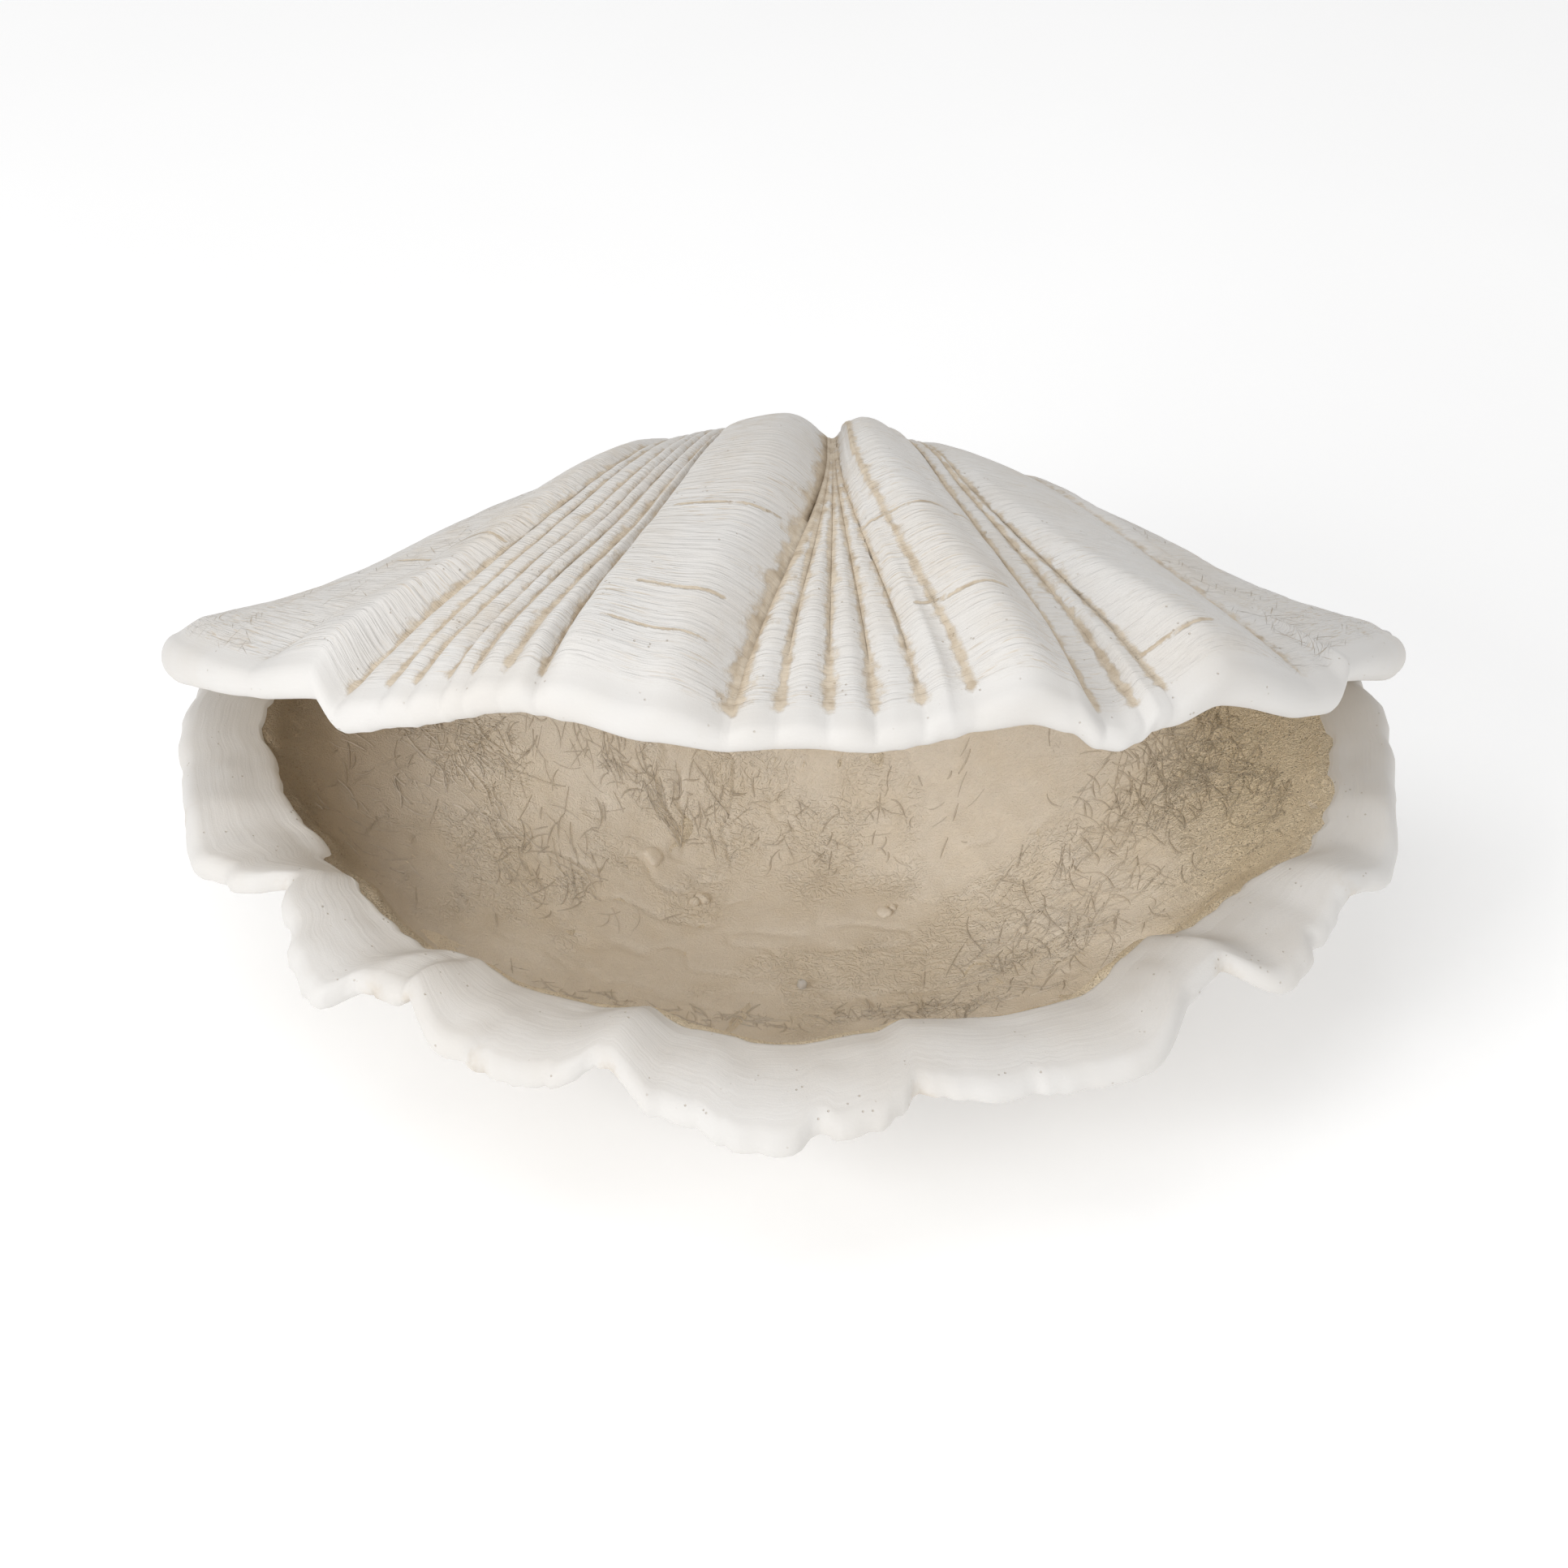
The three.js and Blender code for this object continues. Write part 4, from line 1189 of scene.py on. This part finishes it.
def build_lining(valve, sizes):
    """The fibre layer inside a valve: a thin closed sheet from under the paint edge to the hinge."""
    layout = valve_layout(valve, sizes)
    u = layout.u
    count = sizes.lining_rows if valve is LOWER else sizes.lining_rows // 2
    first_age = np.maximum(layout.paint_age - LINING_TUCK / valve.reach, LEAST_LINING_AGE)
    ages = mix(first_age, INNER_LAST_AGE, np.linspace(0, 1, count)[:, None] ** LINING_ROW_POWER)
    top = face_points(valve, u, ages, inner=True)
    wall, into_wall = wall_between(valve, u, ages)
    fits = depth_share(wall)
    past_edge = ease((ages - layout.paint_age) * valve.reach / PAST_EDGE)
    top = top + into_wall * mix(*LINING_DEPTHS, past_edge)[..., None] * fits
    below_rows = np.linspace(UNDERSIDE_FIRST_ROWS[2], count - 1, UNDERSIDE_ROWS).astype(int)
    below_rows = np.unique(np.concatenate([UNDERSIDE_FIRST_ROWS[:2], below_rows]))
    centre = np.array([UMBO_X, 0, 0]) + ALONG * (HINGE_FACE_WIDTH + LINING_CENTRE_GAP)
    low_centre = centre - ALONG * UNDERSIDE_CENTRE_DROP
    top = np.concatenate([top, wall_rows(top[-1], centre, valve.umbo_rows)])
    for _ in range(BLEND_ROUNDS):
        band = top[count - BLEND_ROWS:-1]
        smoothed = (np.roll(band, 1, 0) + np.roll(band, -1, 0) + 2 * band) / 4
        weight = np.sin(np.linspace(0, np.pi, len(band)))[:, None, None]
        band[1:-1] = mix(band[1:-1], smoothed[1:-1], weight[1:-1])
    sheet = np.array(UNDERSIDE_DEPTHS[:2] + UNDERSIDE_DEPTHS[2:] * (len(below_rows) - 2))[:, None, None]
    under = top[below_rows] + (into_wall * fits)[below_rows] * sheet
    under = np.concatenate([under, wall_rows(under[-1], low_centre, UNDERSIDE_UMBO_ROWS)])

    grid = to_frame(valve, raised(top, np.maximum(top @ AWAY, LINING_HINGE_GAP)))
    below = to_frame(valve, raised(under, np.maximum(under @ AWAY, LINING_HINGE_GAP)))
    if valve is LOWER:
        grid = soft_floor(grid, FLOOR_WALL)
        below = soft_floor(below, UNDERSIDE_FLOOR)
    normal = -grid_normals(grid[::-1], -valve.side)[::-1]
    umbo_shape = (valve.umbo_rows - 1, len(u))
    from_edge = np.concatenate([(ages - layout.paint_age) * valve.reach, np.full(umbo_shape, FAR_FROM_EDGE)])
    by_edge = np.exp(-np.maximum(from_edge, 0) / EDGE_RUN)
    dry = dry_mat(valve, grid, by_edge)
    move = lining_relief(valve, grid, dry, by_edge)
    inside = ease(from_edge / PAINT_FADE) * ease((top @ AWAY) / LINING_HINGE_FADE)
    lowest = np.concatenate([-DEEPEST_HOLLOW * fits[..., 0], np.full(umbo_shape, -DEEPEST_HOLLOW)])
    # Painted shade: the left wall turns brown where it lies in shadow.
    thin = ease(beyond(-grid[..., 0], PAINTED_SHADE_LEFT)) * (valve is LOWER)
    grid = grid + normal * (np.maximum(move, lowest) * inside)[..., None]
    if valve is LOWER:
        grid[..., 2] = np.maximum(grid[..., 2], LOWEST_LINING)

    rows, columns = grid.shape[:2]
    numbers = np.arange(rows * columns).reshape(rows, columns)
    low_numbers = rows * columns + np.arange(len(below) * columns).reshape(-1, columns)
    centres = [to_frame(valve, centre), to_frame(valve, low_centre)]
    points = np.concatenate([grid.reshape(-1, 3), below.reshape(-1, 3), centres])
    top_number, low_number = len(points) - 2, len(points) - 1
    faces = grid_faces(np.concatenate([low_numbers[::-1], numbers]))
    faces += [(top_number, numbers[-1, c], numbers[-1, c + 1]) for c in range(columns - 1)]
    faces += [(low_number, low_numbers[-1, c + 1], low_numbers[-1, c]) for c in range(columns - 1)]
    for column in (0, -1):
        upper_chain = numbers[:, column].tolist() + [top_number]
        lower_chain = low_numbers[:, column].tolist() + [low_number]
        places = [run_lengths(points[chain]) for chain in (upper_chain, lower_chain)]
        strip = zip_strip(upper_chain, lower_chain, *(place / place[-1] for place in places))
        faces += strip if column == -1 else [face[::-1] for face in strip]
    padding = len(points) - rows * columns
    layers = {"dry_mat": padded(dry, padding, 0.5), "thin_resin": padded(thin, padding)}
    make_piece(f"{valve.name}_fibre_lining", points, wound(valve, faces), layers, lining_material(),
               [valve.node])


def strand_mesh(paths, widths):
    """Thin four-sided strands along their paths. Each path is points and normals in millimetres."""
    points, faces = [], []
    for (centre, normal), width in zip(paths, widths):
        ahead = unit(np.gradient(centre, axis=0))
        sideways = unit(np.cross(ahead, normal))
        along = np.sin(np.linspace(STRAND_TIP, np.pi - STRAND_TIP, len(centre)))
        taper = along[:, None] ** STRAND_TAPER * width
        side_reach, up_reach, down_reach = STRAND_SECTION
        ring = np.stack([
            centre + sideways * taper * side_reach,
            centre + normal * taper * up_reach,
            centre - sideways * taper * side_reach,
            centre - normal * taper * down_reach,
        ], 1)
        first = sum(len(chunk) for chunk in points)
        points.append(ring.reshape(-1, 3))
        for k, s in product(range(len(centre) - 1), range(4)):
            a, b = first + 4 * k + s, first + 4 * k + (s + 1) % 4
            faces.append((a, a + 4, b + 4, b))
        last = first + 4 * (len(centre) - 1)
        faces += [(first, first + 1, first + 2, first + 3), (last + 3, last + 2, last + 1, last)]
    return np.concatenate(points), faces


def lower_lining_surface():
    mesh = bpy.data.objects["lower_fibre_lining"].data
    corners = [tuple(vertex.co) for vertex in mesh.vertices]
    return BVHTree.FromPolygons(corners, [tuple(face.vertices) for face in mesh.polygons])


def set_down(surface, x, y):
    """Place in millimetres and upward normal of the lining under a point of the floor plan, or None."""
    hit, normal, _, _ = surface.ray_cast(Vector((x, y, DROP_FROM)) * MM, Vector((0, 0, -1)))
    if hit is None:
        return None
    return np.array(hit) / MM, np.array(normal) * (1 if normal.z > 0 else -1)


def drop_mesh(centre, normal, radius, height, seed):
    """A lumpy closed drop, half sunk in the surface it sits on."""
    rings, sides = 9, 18
    first_side = unit(np.cross(normal, (0.0, 1.0, 0.3)))
    second_side = np.cross(normal, first_side)
    rise = np.linspace(-math.pi / 2, math.pi / 2, rings + 2)[1:-1, None, None]
    turn = np.linspace(0, 2 * math.pi, sides, endpoint=False)[None, :, None]
    around = np.cos(turn) * first_side + np.sin(turn) * second_side
    body = (np.cos(rise) * radius * around + np.sin(rise) * height * normal).reshape(-1, 3)
    body = np.concatenate([body, [-height * normal, height * normal]])
    body *= 1 + 0.3 * lumps_at(body + seed * 9.0, radius, seed)[:, None]
    numbers = np.arange(rings * sides).reshape(rings, sides)
    closed = np.concatenate([numbers, numbers[:, :1]], 1)
    faces = grid_faces(closed)
    low, top = rings * sides, rings * sides + 1
    faces += [(low, closed[0, k + 1], closed[0, k]) for k in range(sides)]
    faces += [(top, closed[-1, k], closed[-1, k + 1]) for k in range(sides)]
    return centre + normal * height * DROP_RAISE + body, [tuple(int(n) for n in face) for face in faces]


def measure(name, description, default, **kind):
    return FloatProperty(name=name, description=description, default=default, **kind)


def whole(name, description, default):
    return IntProperty(name=name, description=description, default=default)


def colour(name, description, *default):
    return FloatVectorProperty(name=name, description=description, subtype="COLOR", size=3, default=default)


class ClamSizes(bpy.types.PropertyGroup):
    """Sizes and mesh density of the visual model."""

    columns_per_degree: measure("Columns per degree", "Mesh columns across the fan", 1.35)
    least_columns: whole("Least columns", "Columns between two neighbouring stations", 7)
    outer_rows: whole("Outer rows", "Rows from the umbo to the margin", 215)
    lip_rows: whole("Lip rows", "Steps round the lip", 14)
    lining_rows: whole("Lining rows", "Rows of the lower lining", 170)
    chipping: measure("Chipping", "How deep the rim of the lower valve is chipped", 1.25)


class ClamFinish(bpy.types.PropertyGroup):
    """Colours and roughness of the paint, the wash and the bare lining."""

    paint: colour("Paint", "White paint", 0.74, 0.722, 0.697)
    warm_paint: colour("Warm paint", "Warmer patches of the paint", 0.715, 0.685, 0.645)
    wash: colour("Wash", "Beige wash in the grooves", 0.63, 0.53, 0.40)
    dark_wash: colour("Dark wash", "Wash where it gathered", 0.47, 0.37, 0.25)
    resin: colour("Resin", "Pooled resin", 0.94, 0.86, 0.75)
    warm_resin: colour("Warm resin", "Warmer resin", 0.90, 0.80, 0.66)
    # Painted shade: the brown that stands in for the shadow on the left wall and the strands.
    thin_resin: colour("Painted shade", "Brown painted shade on the left wall and the strands", 0.30, 0.22, 0.14)
    ochre: colour("Dry mat", "Ochre of the dry fibre mat", 0.97, 0.82, 0.58)
    pit: colour("Pits", "Dark brown of gaps and pinholes", 0.22, 0.15, 0.09)
    paint_roughness: measure("Paint roughness", "Roughness of the matt paint", 0.62)
    groove_wash: measure("Groove wash", "Strength of the wash in grooves", 0.85)
    line_wash: measure("Line wash", "Strength of the wash in fine lines", 0.62)
    haze: measure("Haze", "Strength of the thin wash over the ribs", 0.16)


class ClamStage(bpy.types.PropertyGroup):
    """Camera, floor and lights."""

    camera_distance: measure("Camera distance", "From the camera to its target", 2.95, unit="LENGTH")
    camera_elevation: measure("Camera elevation", "Angle above the floor", math.radians(36), subtype="ANGLE")
    lens: measure("Lens", "Focal length in millimetres", 111.1)
    floor_color: colour("Floor", "Pale floor", 0.96, 0.96, 0.96)
    floor_glow: measure("Floor glow", "Light given off by the pale floor", 0.18)
    key_power: measure("Key light", "Power of the large left light in watts", 50.0)
    low_power: measure("Low light", "Power of the low light in front of the mouth in watts", 3.0)
    top_power: measure("Top light", "Power of the light over the back in watts", 19.0)
    fill_power: measure("Fill light", "Power of the right light in watts", 11.0)
    sky: measure("Surround", "Strength of the white surround", 0.55)


class CLAM_OT_effects(bpy.types.Operator):
    """Builds the shared shader effects"""

    bl_idname = "clam.effects"
    bl_label = "Shader effects"

    def execute(self, context):
        build_growth_ridges()
        build_ragged_wash()
        build_cast_grain()
        build_fibre_mat()
        return {"FINISHED"}


class CLAM_OT_shell_skins(bpy.types.Operator):
    """Builds the painted skins of the upper and the lower valve"""

    bl_idname = "clam.shell_skins"
    bl_label = "Shell skins"

    def execute(self, context):
        for valve in (UPPER, LOWER):
            build_skin(valve, context.scene.clam_sizes)
        return {"FINISHED"}


class CLAM_OT_fibre_linings(bpy.types.Operator):
    """Builds the rough fibre linings inside both valves"""

    bl_idname = "clam.fibre_linings"
    bl_label = "Fibre linings"

    def execute(self, context):
        for valve in (UPPER, LOWER):
            build_lining(valve, context.scene.clam_sizes)
        return {"FINISHED"}


class CLAM_OT_strands(bpy.types.Operator):
    """Lays loose glass-fibre strands on the lower lining"""

    bl_idname = "clam.strands"
    bl_label = "Loose strands"

    def execute(self, context):
        surface = lower_lining_surface()
        draw = np.random.default_rng(STRAND_SEED)
        paths, widths = [], []
        for (cx, cy), (sx, sy), number_of_strands, length in STRAND_ZONES:
            for _ in range(number_of_strands):
                x = cx + sx * draw.normal() * STRAND_SPREAD
                y = cy + sy * draw.normal() * STRAND_SPREAD
                heading = draw.uniform(0, 2 * math.pi)
                bend = draw.normal(0, STRAND_BEND) * min(1.0, STIFF_LENGTH / length)
                reach = length * draw.uniform(*STRAND_REACH)
                centres, normals = [], []
                for k in range(STRAND_STEPS):
                    angle = heading + bend * (k / STRAND_STEPS) ** 1.3
                    found = set_down(surface, x, y)
                    if found is None or found[0][2] > STRANDS_UNDER:
                        break
                    centres.append(found[0])
                    normals.append(found[1])
                    step = reach / STRAND_STEPS * max(abs(found[1][2]), STEEPEST)
                    x += math.cos(angle) * step
                    y += math.sin(angle) * step
                if len(centres) >= STRAND_POINTS:
                    paths.append((np.array(centres), unit(np.array(normals))))
                    widths.append(draw.uniform(*STRAND_HALF_WIDTH))
        points, faces = strand_mesh(paths, widths)
        x = points[:, 0]
        layers = {
            "dry_mat": np.clip(beyond(x, DRY_RIGHT), 0, 1),
            # Painted shade: every strand is darkened by at least a fixed share of the brown, and more toward
            # the left wall.
            "thin_resin": np.maximum(ease(beyond(-x, PAINTED_SHADE_LEFT)), STRAND_PAINTED_SHADE),
        }
        make_piece("lining_strands", points, faces, layers, lining_material())
        return {"FINISHED"}


class CLAM_OT_drops(bpy.types.Operator):
    """Sets the resin drops and the bead of paint on the lower lining"""

    bl_idname = "clam.drops"
    bl_label = "Resin drops"

    def execute(self, context):
        surface = lower_lining_surface()

        def on_lining(drop, seed):
            (x, y), radius, height = drop
            found = set_down(surface, x, y)
            if found is None:
                raise RuntimeError("A drop lies outside the bowl")
            return drop_mesh(*found, radius, height, seed)

        points, faces = [], []
        for seed, drop in enumerate(RESIN_DROPS, DROP_SEED + 1):
            first = sum(len(chunk) for chunk in points)
            body, body_faces = on_lining(drop, seed)
            points.append(body)
            faces += [tuple(n + first for n in face) for face in body_faces]
        points = np.concatenate(points)
        resin = {"dry_mat": np.zeros(len(points))}
        make_piece("resin_drops", points, faces, resin, lining_material())
        bead, bead_faces = on_lining(PAINT_BEAD, DROP_SEED)
        paint = {"ribbed": np.zeros(len(bead))}
        make_piece("paint_bead", bead, bead_faces, paint, paint_material())
        return {"FINISHED"}


class CLAM_OT_stage(bpy.types.Operator):
    """Builds the floor, the lights and the camera"""

    bl_idname = "clam.stage"
    bl_label = "Stage"

    def execute(self, context):
        scene = context.scene
        stage = scene.clam_stage
        mesh = bpy.data.meshes.new("pale_floor")
        corners = [(x * FLOOR_HALF, y * FLOOR_HALF, 0) for x, y in ((-1, -1), (1, -1), (1, 1), (-1, 1))]
        mesh.from_pydata(corners, [], [(0, 1, 2, 3)])
        mesh.materials.append(floor_material(tuple(stage.floor_color), stage.floor_glow))
        floor = bpy.data.objects.new("pale_floor", mesh)
        scene.collection.objects.link(floor)

        world = bpy.data.worlds.new("white_surround")
        world.use_nodes = True
        world.node_tree.nodes["Background"].inputs["Color"].default_value = (1.0, 1.0, 1.0, 1.0)
        world.node_tree.nodes["Background"].inputs["Strength"].default_value = stage.sky
        scene.world = world

        target = Vector(LOOK_AT)
        for name, place, size in LIGHTS:
            light = bpy.data.lights.new(f"{name}_light", "AREA")
            light.energy = getattr(stage, f"{name}_power")
            light.size = size
            lamp = bpy.data.objects.new(light.name, light)
            lamp.location = place
            lamp.rotation_euler = (target - Vector(place)).to_track_quat("-Z", "Y").to_euler()
            scene.collection.objects.link(lamp)

        camera = bpy.data.cameras.new("photo_view")
        camera.lens = stage.lens
        camera.sensor_width = 36.0
        camera.clip_end = 50.0
        view = bpy.data.objects.new("photo_view", camera)
        elevation = stage.camera_elevation
        toward_view = Vector((0, -math.cos(elevation), math.sin(elevation)))
        view.location = target + stage.camera_distance * toward_view
        view.rotation_euler = (math.pi / 2 - elevation, 0, 0)
        scene.collection.objects.link(view)
        scene.camera = view
        scene.view_settings.view_transform = "Standard"
        return {"FINISHED"}


class CLAM_PT_panel(bpy.types.Panel):
    """Lists the settings and the building steps"""

    bl_idname = "CLAM_PT_panel"
    bl_label = "Clam Shell"
    bl_space_type = "VIEW_3D"
    bl_region_type = "UI"
    bl_category = "Clam Shell"

    def draw(self, context):
        layout = self.layout
        for group in (context.scene.clam_sizes, context.scene.clam_finish, context.scene.clam_stage):
            box = layout.box()
            for name in group.__annotations__:
                box.prop(group, name)
        for operator in OPERATORS:
            layout.operator(operator.bl_idname)


OPERATORS = (
    CLAM_OT_effects, CLAM_OT_shell_skins, CLAM_OT_fibre_linings,
    CLAM_OT_strands, CLAM_OT_drops, CLAM_OT_stage,
)
CLASSES = (ClamSizes, ClamFinish, ClamStage, *OPERATORS, CLAM_PT_panel)


def register():
    for cls in CLASSES:
        bpy.utils.register_class(cls)
    bpy.types.Scene.clam_sizes = PointerProperty(type=ClamSizes)
    bpy.types.Scene.clam_finish = PointerProperty(type=ClamFinish)
    bpy.types.Scene.clam_stage = PointerProperty(type=ClamStage)


def unregister():
    del bpy.types.Scene.clam_sizes
    del bpy.types.Scene.clam_finish
    del bpy.types.Scene.clam_stage
    for cls in reversed(CLASSES):
        bpy.utils.unregister_class(cls)


def main():
    """Registers the classes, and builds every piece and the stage."""
    register()
    bpy.ops.clam.effects()
    bpy.ops.clam.shell_skins()
    bpy.ops.clam.fibre_linings()
    bpy.ops.clam.strands()
    bpy.ops.clam.drops()
    bpy.ops.clam.stage()


if __name__ == "__main__":
    main()
